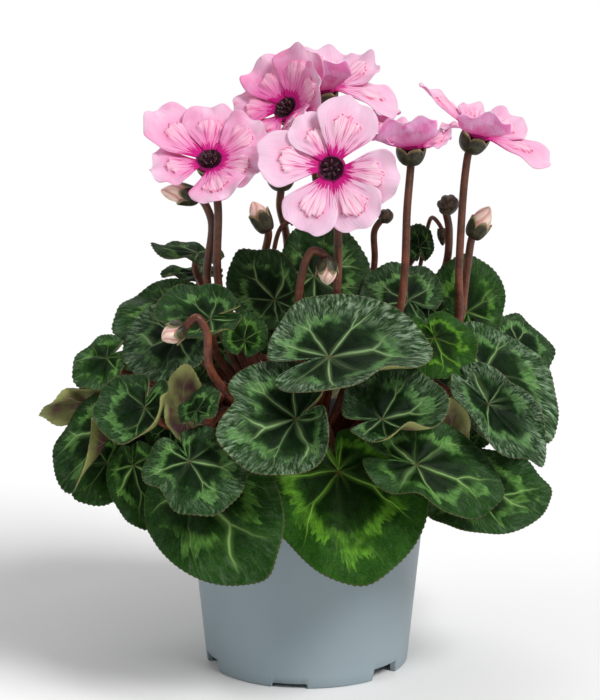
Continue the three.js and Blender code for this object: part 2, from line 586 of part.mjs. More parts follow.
function cormAndStalks() {
  const corm = new THREE.SphereGeometry(CORM_RADIUS, CORM_SIDES, CORM_BANDS).rotateX(Math.PI / 2)
    .scale(1, 1, CORM_HALF_HEIGHT / CORM_RADIUS).translate(0, 0, CORM_CENTRE);
  const pieces = [solidOf(corm)];
  for (const leaf of LEAVES) {
    pieces.push(leafStalk(leaf));
  }
  for (const flower of FLOWERS) {
    const { solid, foot } = calyxOf(flower);
    const inside = foot.clone().addScaledVector(facing(flower.heading, flower.lean), SCAPE_SINK);
    const route = [...flower.route, foot.toArray(), inside.toArray()];
    pieces.push(solid, solidOf(stem(route, SCAPE_RADIUS, SCAPE_SIDES, SCAPE_STEPS)));
  }
  for (const bud of [...BUDS, ...YOUNG_BUDS]) {
    const inside = bud.foot.clone().addScaledVector(facing(bud.heading, bud.lean), SCAPE_SINK);
    const radius = Math.min(SCAPE_RADIUS, bud.size[0] * 0.45);
    pieces.push(solidOf(bud.size.length === 3 ? budParts(bud).calyx : youngBud(bud)));
    const route = [...bud.route, bud.foot.toArray(), inside.toArray()];
    pieces.push(solidOf(stem(route, radius, SCAPE_SIDES, SCAPE_STEPS)));
  }
  return join(pieces);
}

for (const leaf of LEAVES) {
  addPiece(`leaf_${leaf.name}`, bladeGeometry(leaf), COLOURS.blade);
}
for (const flower of FLOWERS) {
  const geometry = geometryOf(corolla(flower)).applyMatrix4(flowerMatrix(flower));
  addPiece(`petals_${flower.name}`, geometry, COLOURS.petal);
}
for (const bud of BUDS) {
  addPiece(`bud_${bud.name}`, budParts(bud).tip, COLOURS.bud);
}
addPiece('corm_and_stalks', geometryOf(cormAndStalks()), COLOURS.stalk);
addPiece('pot', pot(), COLOURS.pot);
addPiece('peat', peat(), COLOURS.peat);

export default model;
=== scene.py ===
# %% [markdown]
# This lesson builds a potted cyclamen: patterned leaves on long stalks, pink flowers with swept
# petals, and a plain nursery pot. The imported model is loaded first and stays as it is, and each finer
# piece below takes the place of its nodes. Sizes are in millimetres, and MM makes them metres.

# %% Load the frame
import math
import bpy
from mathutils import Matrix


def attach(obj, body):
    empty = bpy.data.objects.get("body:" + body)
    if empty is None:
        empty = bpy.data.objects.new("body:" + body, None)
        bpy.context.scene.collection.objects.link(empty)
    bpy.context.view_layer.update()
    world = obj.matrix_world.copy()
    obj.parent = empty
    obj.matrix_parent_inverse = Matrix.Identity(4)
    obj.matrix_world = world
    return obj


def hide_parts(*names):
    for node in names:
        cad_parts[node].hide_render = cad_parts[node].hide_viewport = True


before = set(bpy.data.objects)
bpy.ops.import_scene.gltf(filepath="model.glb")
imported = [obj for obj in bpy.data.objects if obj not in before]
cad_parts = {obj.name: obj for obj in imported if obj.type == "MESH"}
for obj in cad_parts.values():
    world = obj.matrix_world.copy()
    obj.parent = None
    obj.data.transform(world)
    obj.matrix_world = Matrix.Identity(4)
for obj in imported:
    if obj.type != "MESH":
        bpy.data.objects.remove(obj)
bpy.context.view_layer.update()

from types import SimpleNamespace

import bpy
import numpy as np
from mathutils import Matrix, Vector

MM = 0.001
print("frame loaded with", len(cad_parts), "nodes")

# %% [markdown]
# The camera stands 1.3 m in front of the plant and looks a little down on it. A short lens close by
# would make the pot look wedge shaped. A long lens keeps its sides almost parallel, as they are in
# the photograph.

# %% Camera
CAMERA_PLACE = Vector((-3.15, -1283.8, 439.7)) * MM
CAMERA_PITCH = 13.1
VIEW_HEIGHT_SHARE = 350 / 3000


def add_object(name, data):
    item = bpy.data.objects.new(name, data)
    bpy.context.scene.collection.objects.link(item)
    return item


camera = add_object("camera", bpy.data.cameras.new("camera"))
camera.location = CAMERA_PLACE
camera.rotation_euler = (math.radians(90 - CAMERA_PITCH), 0, 0)
camera.data.sensor_fit = "VERTICAL"
camera.data.angle = 2 * math.atan(VIEW_HEIGHT_SHARE)
bpy.context.scene.camera = camera
print("camera looks down by", CAMERA_PITCH, "degrees")

# %% [markdown]
# The sky, the materials and the stems are all trees of nodes. They could be wired by hand in the
# editor. Here one helper makes a node, sets its options and feeds its inputs, so that each tree reads
# as a list of steps. What comes out of a node is a Value, which adds and multiplies like a number.

# %% Trees of nodes


class Value:
    """One output of a node, for sums that are done by further nodes."""

    def __init__(self, wiring, socket):
        self.wiring = wiring
        self.socket = socket

    def __add__(self, other):
        return self.wiring.math("ADD", self, other)

    def __sub__(self, other):
        return self.wiring.math("SUBTRACT", self, other)

    def __rsub__(self, other):
        return self.wiring.math("SUBTRACT", other, self)

    def __mul__(self, other):
        return self.wiring.math("MULTIPLY", self, other)

    def __truediv__(self, other):
        return self.wiring.math("DIVIDE", self, other)

    def rise(self, low, high):
        """0 below low, 1 above high, and smooth between them."""
        limits = {"Value": self, "From Min": low, "From Max": high}
        return self.wiring.node("ShaderNodeMapRange", limits, interpolation_type="SMOOTHSTEP")

    def fall(self, low, high):
        return 1.0 - self.rise(low, high)


class Wiring:
    """Makes and links the nodes of one tree."""

    def __init__(self, tree):
        self.tree = tree

    def feed(self, socket, value):
        if isinstance(value, Value):
            self.tree.links.new(value.socket, socket)
        else:
            socket.default_value = value

    def node(self, kind, inputs=None, output=0, **options):
        """Options are set first, then inputs are fed by name or number. Gives one output."""
        made = self.tree.nodes.new(kind)
        for option, setting in options.items():
            setattr(made, option, setting)
        for key, value in (inputs or {}).items():
            for one in value if isinstance(value, list) else [value]:
                self.feed(made.inputs[key], one)
        return Value(self, made.outputs[output])

    def math(self, operation, *values):
        return self.node("ShaderNodeMath", dict(enumerate(values)), operation=operation)

    def split(self, vector):
        """The three numbers of a vector."""
        first = self.node("ShaderNodeSeparateXYZ", {0: vector})
        return [Value(self, socket) for socket in first.socket.node.outputs]


# %% [markdown]
# A studio has large soft lamps. Area lights would do, but they leave pools of light on the floor, so
# these are distant lamps with a wide disc, which give one even tone. The key light falls from the
# upper right in front, a weaker one from the left gives the leaves their sheen, and one behind
# lights the petals through. The sky is brighter overhead than at the horizon.

# %% Lights and sky
HORIZON_STRENGTH = 0.08
OVERHEAD_STRENGTH = 0.45


def add_light(name, comes_from, strength, disc):
    lamp = add_object(name, bpy.data.lights.new(name, "SUN"))
    lamp.data.energy = strength
    lamp.data.angle = math.radians(disc)
    lamp.location = comes_from
    lamp.rotation_euler = Vector(comes_from).to_track_quat("Z", "Y").to_euler()


add_light("key light", (0.9, -0.9, 1.3), 2.55, 24)
add_light("left light", (-1.3, -0.4, 0.9), 0.4, 40)
add_light("back light", (-0.2, 1.0, 1.1), 0.6, 40)

world = bpy.data.worlds.new("studio")
world.use_nodes = True
sky = Wiring(world.node_tree)
_, _, height = sky.split(sky.node("ShaderNodeTexCoord", output="Generated"))
glow = sky.node("ShaderNodeMapRange", {
    "Value": height, "To Min": HORIZON_STRENGTH, "To Max": OVERHEAD_STRENGTH})
background = world.node_tree.nodes["Background"].inputs
sky.feed(background["Strength"], glow)
sky.feed(background["Color"], (1, 1, 1, 1))
bpy.context.scene.world = world
bpy.context.scene.view_settings.view_transform = "Standard"

# %% [markdown]
# A finish is written as a recipe: which colour is mixed over which, and where. Image textures would
# need files and UVs. Noise and cells worked out from a place need neither, and look sharp at any
# distance. Each layer is laid over what is painted so far.

# %% Recipe for a material
MIX_BELOW = 6
MIX_ABOVE = 7
MIX_RESULT = 2


def srgb(red, green, blue):
    def linear(value):
        share = value / 255
        return share / 12.92 if share <= 0.04045 else ((share + 0.055) / 1.055) ** 2.4

    return (linear(red), linear(green), linear(blue), 1.0)


print("half grey on a screen is", round(srgb(128, 128, 128)[0], 3), "of full light")


class Recipe(Wiring):
    def __init__(self, name, roughness, specular):
        self.material = bpy.data.materials.new(name)
        self.material.use_nodes = True
        super().__init__(self.material.node_tree)
        self.surface = self.tree.nodes["Principled BSDF"].inputs
        self.surface["Roughness"].default_value = roughness
        self.surface["Specular IOR Level"].default_value = specular

    def spot(self, x, y, z=0.0):
        return self.node("ShaderNodeCombineXYZ", {0: x, 1: y, 2: z})

    def point_value(self, name):
        """The three numbers that the piece's points carry under a name."""
        return self.split(self.node("ShaderNodeAttribute", output="Vector", attribute_name=name))

    def point_number(self, name):
        return self.node("ShaderNodeAttribute", output="Fac", attribute_name=name)

    def place(self):
        return self.node("ShaderNodeTexCoord", output="Object")

    def noise(self, vector, scale, detail=3.0, roughness=0.5):
        return self.node("ShaderNodeTexNoise", {
            "Vector": vector, "Scale": scale, "Detail": detail, "Roughness": roughness})

    def cells(self, vector, scale):
        inputs = {"Vector": vector, "Scale": scale}
        return self.node("ShaderNodeTexVoronoi", inputs, feature="DISTANCE_TO_EDGE")

    def blend(self, share, below, above):
        """A colour is a Value, or red, green and blue from 0 to 255 as a screen shows them."""
        inputs = {0: share}
        for key, paint in ((MIX_BELOW, below), (MIX_ABOVE, above)):
            inputs[key] = paint if isinstance(paint, Value) else srgb(*paint)
        return self.node("ShaderNodeMix", inputs, MIX_RESULT, data_type="RGBA")

    def colour(self, value):
        self.painted = value
        self.feed(self.surface["Base Color"], value)

    def lay(self, share, above):
        """Lays a colour over what is painted so far, as far as share says."""
        self.colour(self.blend(share, self.painted, above))

    def roughness(self, value):
        self.feed(self.surface["Roughness"], value)

    def bump(self, height, depth, strength=1.0):
        inputs = {"Height": height, "Distance": depth * MM, "Strength": strength}
        self.feed(self.surface["Normal"], self.node("ShaderNodeBump", inputs))


def mottled(name, shine, grain, rise, colours, depth):
    """Two colours in a grain that is the bump as well; shine is roughness and specular."""
    recipe = Recipe(name, *shine)
    speck = recipe.noise(recipe.place(), *grain)
    recipe.colour(recipe.blend(speck.rise(*rise), *colours))
    recipe.bump(speck, depth)
    return recipe


# %% [markdown]
# The floor only has to catch the plant's shadow. It is one pale square, so wide that its edge is far
# behind the plant.

# %% Floor
FLOOR_REACH = 8.0
FLOOR_DROP = 0.0002
FLOOR_COLOUR = (0.92, 0.92, 0.92, 1.0)

floor_finish = Recipe("pale floor", 0.9, 0.1)
floor_finish.colour(FLOOR_COLOUR)
floor_mesh = bpy.data.meshes.new("floor")
floor_corners = ((-1, -1), (1, -1), (1, 1), (-1, 1))
floor_mesh.from_pydata(
    [(x * FLOOR_REACH, y * FLOOR_REACH, -FLOOR_DROP) for x, y in floor_corners], [], [(0, 1, 2, 3)])
floor_mesh.materials.append(floor_finish.material)
add_object("floor", floor_mesh)
print("floor is", 2 * FLOOR_REACH, "m wide")

# %% [markdown]
# Every curved piece here is a skin: rings of points, each ring joined to the next, with a pole at
# either end. Blades, petals and the pot could each be modelled by hand, but one helper that closes a
# grid of points keeps them all watertight. The points also carry values, such as their place on the
# flat leaf, and the finishes read them.

# %% Skins


class Skin:
    """Points, faces and named point values of one closed surface, and a material for each face."""

    def __init__(self, points, faces, values, paint):
        self.points = points
        self.faces = faces
        self.values = values
        self.paint = paint

    def moved(self, matrix):
        turn = np.array(matrix.to_3x3())
        shift = np.array(matrix.translation)
        return Skin(self.points @ turn.T + shift, self.faces, self.values, self.paint)


def skin_of(rings, first_pole, last_pole, values, paint):
    """rings is (count, columns, 3) and turns anticlockwise about its way along; values match it."""
    count, columns, _ = rings.shape
    points = np.vstack([first_pole, rings.reshape(-1, 3), last_pole])
    here = 1 + np.arange(count * columns).reshape(count, columns)
    beside = np.roll(here, -1, axis=1)
    quads = np.stack([here[:-1], beside[:-1], beside[1:], here[1:]], axis=-1).reshape(-1, 4)
    last = len(points) - 1
    start = [(0, int(b), int(a)) for a, b in zip(here[0], beside[0])]
    end = [(last, int(a), int(b)) for a, b in zip(here[-1], beside[-1])]
    faces = start + [tuple(map(int, quad)) for quad in quads] + end
    per_ring = paint if isinstance(paint, list) else [paint] * (count - 1)
    slots = [per_ring[0]] * columns + list(np.repeat(per_ring, columns)) + [per_ring[-1]] * columns
    full = {}
    for name, grid in values.items():
        full[name] = np.vstack([grid[0].mean(axis=0), grid.reshape(-1, 3), grid[-1].mean(axis=0)])
    return Skin(points, faces, full, slots)


# %% [markdown]
# Round things are turned on a lathe, as a potter or a wood turner makes them. The Screw modifier
# could do it, but here each ring can also be pushed in or out, which gives lobes, ridges and notches.

# %% Turned skins


def lathe_skin(profile, columns, value_name=None, fold=None, paint=0):
    """Turns a profile of (radius, height) about Z; fold may push each point in or out."""
    angle = np.linspace(0, 2 * math.pi, columns, endpoint=False)
    radius = np.array([point[0] for point in profile])[:, None]
    height = np.array([point[1] for point in profile])[:, None] + 0 * angle
    if fold:
        radius, height = fold(radius, height, angle)
    rings = np.stack([radius * np.cos(angle), radius * np.sin(angle), height], axis=-1)
    first = np.array([0, 0, rings[0, :, 2].mean()])
    last = np.array([0, 0, rings[-1, :, 2].mean()])
    share = np.linspace(0, 1, len(profile))[:, None] + 0 * angle
    values = {}
    if value_name:
        values[value_name] = np.stack([share, angle / (2 * math.pi) + 0 * share, 0 * share], axis=-1)
    return skin_of(rings, first, last, values, paint)


print("faces of a turned drum with 12 sides:", len(lathe_skin([(1, 0), (1, 1)], 12).faces))

# %% [markdown]
# A piece is one object with a plain mesh. It is made once its skins are ready, and is then dressed:
# it rides on the part's body and hides the CAD nodes it replaces.

# %% Pieces


def piece_from(name, skins, materials):
    """One object from several skins, in metres, with its point values as attributes."""
    mesh = bpy.data.meshes.new(name)
    points = np.vstack([skin.points for skin in skins]) * MM
    faces = []
    slots = []
    offset = 0
    for skin in skins:
        faces += [tuple(corner + offset for corner in face) for face in skin.faces]
        slots += skin.paint
        offset += len(skin.points)
    mesh.from_pydata(points.tolist(), [], faces)
    for material in materials:
        mesh.materials.append(material)
    mesh.polygons.foreach_set("material_index", slots)
    mesh.polygons.foreach_set("use_smooth", [True] * len(faces))
    for value in skins[0].values:
        attribute = mesh.attributes.new(value, "FLOAT_VECTOR", "POINT")
        attribute.data.foreach_set("vector", np.vstack([skin.values[value] for skin in skins]).ravel())
    mesh.update()
    return add_object(name, mesh)


def dress(item, slot, *nodes):
    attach(item, "root")
    if nodes:
        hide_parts(*nodes)
    return item


# %% [markdown]
# A blade is heart shaped, with a narrow notch at the stalk. It could be cut from a sheet and bent
# with a lattice. Here its outline is a radius that depends on the turn from the tip, and each way out
# of the stalk's joint is an arc, so a blade can curl at its tip, its back lobes or along one side.

# %% Blade outline and its curve
WIDEST_SHARE = 0.82
NOTCH_DEPTH = 0.75
NOTCH_WIDTH = 8
TIP_REACH = 0.05
TIP_WIDTH = 12
BLADE_WAVE = 1.2
BLADE_RUFFLE = 0.9
QUILT_DEPTH = 0.8
VEINS_ROUND = 7
# The highest value of share ** 2 * (1 - share) is 4 / 27
QUILT_SCALE = 27 / 4


def outline_share(turn):
    degrees = np.degrees(np.abs(turn))
    body = 0.8 + 0.2 * np.cos(turn)
    notch = 1 - NOTCH_DEPTH * np.exp(-(((180 - degrees) / NOTCH_WIDTH) ** 2))
    return body * notch + TIP_REACH * np.exp(-((degrees / TIP_WIDTH) ** 2))


def folds_at(leaf, turn):
    """How far the folds of a blade lift its margin, and how much of its radius they draw in."""
    lift = np.zeros_like(turn)
    draw = np.zeros_like(turn)
    for middle, width, height, depth in leaf["folds"]:
        off = (np.degrees(turn) - middle + 540) % 360 - 180
        share = np.exp(-((off / width) ** 2))
        lift = lift + height * share
        draw = draw + depth * share
    return lift, draw


def blade_middle(leaf, share, turn, tooth):
    """Points of the blade's middle surface, and the flat place of each on the leaf."""
    backward = np.maximum(0, -np.cos(turn))
    lift, draw = folds_at(leaf, turn)
    radius = outline_share(turn) * (1 - (1 - leaf["lobes"]) * backward) * (1 + tooth) * (1 - draw)
    along = leaf["length"] * radius * np.cos(turn)
    across = leaf["breadth"] / WIDEST_SHARE * radius * np.sin(turn)
    reach = np.hypot(along, across)
    heading = np.arctan2(across, along)
    endways = np.cos(heading) ** 2
    sideways = np.sin(heading) ** 2
    tip, left, back, right = leaf["bends"]
    start = np.radians(leaf["fold"] * sideways)
    turned_up = endways * np.where(np.cos(heading) > 0, tip, back)
    turned_up = turned_up + sideways * np.where(np.sin(heading) > 0, left, right)
    # A bend of exactly nothing would divide by nothing
    end = start + np.radians(turned_up) + 1e-4
    slope = start + (end - start) * share
    outward = reach * (np.sin(slope) - np.sin(start)) / (end - start)
    upward = reach * (np.cos(start) - np.cos(slope)) / (end - start)
    wave = BLADE_WAVE * np.sin(5 * turn + leaf["length"]) * share ** 3 + lift * share ** 2
    uneven = 0.6 + 0.4 * np.sin(2 * turn + 3 * leaf["length"])
    ruffle = BLADE_RUFFLE * uneven * np.sin(9 * turn + 2 * leaf["length"]) * share ** 4
    quilt = -QUILT_DEPTH * np.cos(VEINS_ROUND * turn) * QUILT_SCALE * share ** 2 * (1 - share)
    points = np.stack([
        outward * np.cos(heading), outward * np.sin(heading), upward + wave + ruffle + quilt], axis=-1)
    flat = np.stack([share * along, share * across, np.zeros_like(share)], axis=-1) / leaf["length"]
    return points, flat


def blade_matrix(leaf):
    heading, slope, roll = (math.radians(angle) for angle in leaf["turn"])
    return (
        Matrix.Translation(leaf["at"]) @ Matrix.Rotation(heading, 4, "Z")
        @ Matrix.Rotation(-slope, 4, "Y") @ Matrix.Rotation(roll, 4, "X")
    )


print("outline at the tip and at the notch:", outline_share(np.array([0.0, math.pi])).round(2))

# %% [markdown]
# The curved sheet gets a thickness, a thinner rim and fine teeth. Solidify would give the same
# thickness everywhere. Offsetting the points along their normals lets the rim taper, and every tooth
# is one column of points, so the number of columns follows the length of the outline.

# %% Blade skin
BLADE_THICKNESS = 0.6
RIM_THICKNESS_SHARE = 0.55
TOOTH_DEPTH = 0.25
TOOTH_SPACING = 1.25
TOOTH_MARK = 0.02
LEAST_COLUMNS = 16
NUMBER_STEP = 0.37
RING_SHARES = (0.04, 0.1, 0.2, 0.31, 0.42, 0.53, 0.63, 0.72, 0.8, 0.87, 0.93, 0.975, 1.0)


def blade_skin(leaf, number):
    columns = 2 * round(math.pi * (leaf["length"] + leaf["breadth"]) / (2 * TOOTH_SPACING)) + LEAST_COLUMNS
    turn = np.linspace(0, 2 * math.pi, columns, endpoint=False)
    turn = np.where(turn > math.pi, turn - 2 * math.pi, turn)
    share, angle = np.meshgrid(np.array(RING_SHARES), turn, indexing="ij")
    teeth = np.where(np.arange(columns) % 2 == 0, TOOTH_DEPTH, -TOOTH_DEPTH) / leaf["length"]
    tooth = np.zeros_like(share)
    tooth[-1] = teeth
    tooth[-2] = teeth / 2
    at_rim = share > 0.99
    middle, flat = blade_middle(leaf, share, angle, tooth)
    centre = middle[0].mean(axis=0)
    around = np.roll(middle, -1, axis=1) - np.roll(middle, 1, axis=1)
    normal = np.cross(np.gradient(middle, axis=0), around)
    normal /= np.maximum(np.linalg.norm(normal, axis=-1, keepdims=True), 1e-9)
    half = BLADE_THICKNESS / 2 * np.where(at_rim, RIM_THICKNESS_SHARE, 1.0)[..., None]
    upper = middle + normal * half
    under = middle - normal * half
    marked = share + np.where((tooth > 0) & at_rim, TOOTH_MARK, 0)
    place = np.concatenate([flat[..., :2], marked[..., None]], axis=-1)
    look = np.broadcast_to(np.array([leaf["warm"], leaf["marbling_and_sheen"], number * NUMBER_STEP]), place.shape)
    values = {
        "blade_place": np.concatenate([place, place[::-1]]),
        "leaf_look": np.concatenate([look, look[::-1]]),
    }
    paint = [1] * (len(RING_SHARES) - 1) + [0] * len(RING_SHARES)
    lift = np.array([0, 0, BLADE_THICKNESS / 2])
    skin = skin_of(np.concatenate([under, upper[::-1]]), centre - lift, centre + lift, values, paint)
    return skin.moved(blade_matrix(leaf))


print("rings on each face of a blade:", len(RING_SHARES))

# %% [markdown]
# The leaves, one row each: the joint, then heading, slope and roll, then length and half width,
# then how far the tip, the left side, the back lobes and the right side have turned up. Fold is how
# steeply both sides start up from the midrib, lobes is how long the back lobes are, and each of the
# folds lifts one stretch of the margin and draws it in. Look is how fresh its green is, and how much
# pale marbling near its rim it has, which also stands in for the leaf's sheen as painted highlight.
# Via is a point that its stalk passes, and over says from which face the stalk comes. Each row stands
# for a leaf that the photograph shows, so a table says it more plainly than any rule.

# %% Leaf rows
FLAT = (0, 0, 0, 0)


def leaf_row(at, turn, size, bends=FLAT, fold=0, lobes=1.0, via=None, over=-1, look=(0.35, 0.35), folds=()):
    return {
        "at": at, "turn": turn, "length": size[0], "breadth": size[1], "bends": bends, "fold": fold,
        "lobes": lobes, "via": via, "over": over, "warm": look[0], "marbling_and_sheen": look[1], "folds": folds,
    }


LEAVES = {
    "front_middle": leaf_row((9, -66, 153), (11, 7, 33), (43, 33), (-10, 15, -10, 40),
                             look=(0.15, 1.1), folds=[(-55, 30, 9, 0.16)]),
    "front_left": leaf_row((-5, -76.4, 129.2), (-169, -13, -49), (34, 31), (20, 40, 92, -15),
                           via=(-6, -46, 131), look=(0.25, 0.9),
                           folds=[(-24, 15, 5, 0.24), (140, 32, 5, 0.2)]),
    "front_right": leaf_row((31, -76, 129), (15, 9, 37), (28, 25), (25, 40, 20, 62),
                            via=(22, -46, 130), look=(0.2, 0.6), folds=[(-70, 25, 7, 0.2)]),
    "hanging_front": leaf_row((13, -70, 105), (-54, -66, 33), (47, 36), (0, -10, -10, 0),
                              lobes=0.6, look=(1.0, 0.05), folds=[(-50, 25, 0, 0.12)]),
    "hanging_left": leaf_row((-48, -67, 99), (-44, -37, 54), (50, 29), (-10, 0, 0, -10),
                             lobes=0.45, look=(0.6, 0.15)),
    "low_left": leaf_row((-49, -84, 113), (-59, -34, 26), (28, 22), (0, -10, 0, 0),
                         via=(-36, -54, 127), look=(0.3, 0.4), folds=[(-62, 20, 4, 0.22)]),
    "low_right": leaf_row((45, -78, 110), (2, -15, 48), (39, 22), (-20, 0, 10, -20),
                          via=(45, -48, 127), look=(0.45, 0.15), folds=[(-85, 30, 7, 0.28)]),
    "right_skirt": leaf_row((69, -52, 91), (28, -3, 52), (42, 20), (-10, 0, 0, 0), look=(0.5, 0.2)),
    "right_folded": leaf_row((76, -58, 131), (-29, -42, 30), (34, 15), (-10, 40, 0, -10),
                             fold=25, via=(50, -46, 138), look=(0.15, 1.0), folds=[(-25, 25, 5, 0.05)]),
    "right_large": leaf_row((76, -24, 137), (-18, -39, 25), (40, 33), (-10, -10, 0, 10), look=(0.3, 1.0)),
    "right_upright": leaf_row((71, 19, 154), (89, 72, 20), (25, 18), (0, 10, 0, 10), look=(0.7, 0.2)),
    "right_back": leaf_row((94, 25, 139), (30, -19, 42), (20, 16), via=(58, 14, 138), look=(0.2, 0.3)),
    "right_bright": leaf_row((54, -38, 155), (-59, -43, 15), (21, 17), look=(1.0, 0.1)),
    "crown_right": leaf_row((44, -9, 165), (147, 24, -33), (22, 19), look=(0.2, 0.3)),
    "crown_back": leaf_row((3, 6, 173), (8, 12, 54), (24, 25), look=(0.4, 0.2)),
    "crown_cup": leaf_row((-14, -22, 168), (135, 37, -36), (26, 17), (20, 0, 30, 70), look=(0.3, 0.2)),
    "left_upper": leaf_row((-56, -18, 161), (178, -13, -36), (28, 21), look=(0.4, 0.35)),
    "left_cup": leaf_row((-41, -46, 165), (-177, -5, -30), (24, 18), (35, 40, 30, 40),
                         via=(-37, -28, 142), look=(0.3, 0.15)),
    "left_grey": leaf_row((-55, -41, 156), (177, -16, -43), (25, 20), (-10, 0, 0, 0), look=(0.1, 0.7)),
    "left_round": leaf_row((-68, -66, 131.5), (-128, -54, -14), (24, 21), (60, 95, 20, 50),
                           via=(-56, -42, 116), look=(0.3, 0.25)),
    "left_side": leaf_row((-85.6, -34, 145), (-179, -33, -32), (17, 15), look=(0.6, 0.4)),
    "left_mauve": leaf_row((-86, -50, 118), (-155, -52, -21), (30, 21), (0, 150, 0, 0), look=(0.4, 0.2)),
    "left_low": leaf_row((-86, -38, 100), (-169, -49, -41), (20, 16), look=(0.7, 0.2)),
    "left_dark": leaf_row((-74, -50, 102), (-67, -54, 37), (28, 13), lobes=0.6, look=(0.6, 0.1)),
    "middle_small": leaf_row((-27, -38, 154), (78, 54, 10), (13, 10), via=(-15, -22, 128), look=(0.7, 0.3)),
    "left_purple": leaf_row((-51.4, -55, 123.5), (-95, 78, 0), (25, 9), lobes=0.7, over=1, look=(0.8, 0.1)),
    "left_pointed": leaf_row((-94, -31, 125), (188, -14, 50), (21, 12), via=(-62, -14, 128), over=1),
    "middle_low": leaf_row((-46, -70, 131), (60, 40, -10), (13, 10), via=(-34, -42, 132)),
    "left_flat": leaf_row((-48, 5, 183), (172, 8, -8), (20, 11)),
    "left_flat_under": leaf_row((-47, 17, 172), (185, 2, -8), (17, 9), via=(-32, 6, 154)),
    "right_small": leaf_row((50, 30, 181), (100, 60, 0), (11, 7), via=(38, 38, 158)),
    "right_olive": leaf_row((60, -56, 114), (-80, 76, 0), (20, 9), over=1),
    "inner_left": leaf_row((-43, 14, 140), (-100, -50, 0), (20, 14)),
    "inner_right": leaf_row((44, 17, 158), (-80, -40, 0), (17, 11)),
}
print("leaves that the photograph shows, and two inside:", len(LEAVES))

# %% [markdown]
# The photograph doesn't show the back of the plant. A cyclamen grows evenly all round, so a loop sets
# a low and a high ring of leaves there, each a little turned and rolled out of the exact ring.

# %% Leaves behind
RING_TWIST = 8
RING_ROLL = 6
# Radius, height and slope each come with what every other leaf adds to them
RINGS = {
    "low": ((14, 46, 78, 110, 142, 173), (77, -3), (116, -9), (-44, -4), (40, 29), (-12, -8, 8, -8), 1.0),
    "high": ((52, 84, 116, 148), (62, -8), (142, 12), (-30, 4), (31, 24), (-12, 6, 8, 6), 0.7),
}


def ring_leaf(heading, radius, height, slope, size, bends, lobes):
    angle = math.radians(heading)
    at = (radius * math.cos(angle), radius * math.sin(angle), height)
    return leaf_row(at, (heading + RING_TWIST, slope, RING_ROLL), size, bends, lobes=lobes)


for ring, (headings, *pairs, size, bends, lobes) in RINGS.items():
    for k, heading in enumerate(headings):
        radius, height, slope = (first + (k % 2) * more for first, more in pairs)
        LEAVES[f"back_{ring}_{k + 1}"] = ring_leaf(heading, radius, height, slope, size, bends, lobes)
LEAVES["back_crown"] = ring_leaf(92, 45, 171, -10, (26, 22), (-10, 10, 10, 10), 0.6)
print("leaves in all:", len(LEAVES))

# %% [markdown]
# Both faces of a leaf show its veins, which leave the joint and fork near the rim. They could be
# painted by hand on an unwrapped leaf, but 52 leaves would need 52 paintings. The pattern is worked
# out from the place on the flat leaf that each point carries, so it follows every curl, and each
# leaf's number shifts the noise, so that no two are alike.

# %% Vein pattern shared by both faces
VEIN_STEP = 2 * math.pi / VEINS_ROUND
VEIN_SWAY = 0.26
FORK_OPENING = 0.42


def vein_pattern(recipe):
    x, y, share = recipe.point_value("blade_place")
    warm, marbling_and_sheen, number = recipe.point_value("leaf_look")
    flat = recipe.spot(x + number, y, number)
    bend_x = (recipe.noise(flat, 2.6, 2.0) - 0.5) * VEIN_SWAY
    bend_y = (recipe.noise(recipe.spot(y, x, number), 2.6, 2.0) - 0.5) * VEIN_SWAY
    swayed_x = x + bend_x * share
    swayed_y = y + bend_y * share
    angle = recipe.math("ARCTAN2", swayed_y, swayed_x)
    radius = recipe.math("SQRT", swayed_x * swayed_x + swayed_y * swayed_y)
    side = recipe.spot(swayed_x / radius, swayed_y / radius, number)
    uneven = angle + (recipe.noise(side, 0.9, 0.0) - 0.5) * 0.9
    off_vein = recipe.math("PINGPONG", uneven, VEIN_STEP / 2)
    fork_start = recipe.noise(recipe.spot(angle, number), 1.2, 0.0) * -0.5 - 0.2
    opened = recipe.math("MAXIMUM", radius + fork_start, 0.0) * FORK_OPENING
    fork = recipe.math("ABSOLUTE", off_vein * radius - opened)
    width = share * -0.011 + 0.017
    strength = recipe.noise(recipe.spot(angle, number * 3.0), 1.6, 0.0).rise(0.3, 0.62)
    return SimpleNamespace(
        share=share, warm=warm, marbling_and_sheen=marbling_and_sheen, number=number, flat=flat, angle=angle, off_vein=off_vein,
        vein=fork.fall(0.0, width * 1.3), halo=fork.fall(0.0, width * 4.0), strength=strength,
    )


print("degrees from vein to vein:", round(math.degrees(VEIN_STEP), 1))

# %% [markdown]
# The upper face is dark green round the joint, partly its own colour and partly painted shade inside
# the cupped blade, and blue-green outside, with a jagged light band between, and silver marbling
# towards the rim that also stands in for the leaf's sheen as painted highlight. Each layer is laid
# over the ones before it: ground, cloud, painted glints, band, marbling with painted sheen, veins,
# and last the brown joint and tooth tips.

# %% Upper face of a leaf


def radial(recipe, part, around, outward, scale, detail=4.0):
    """Noise that is drawn out along the way from the joint to the rim."""
    place = recipe.spot(part.angle * around, part.share * outward, part.number)
    return recipe.noise(place, scale, detail, 0.65)


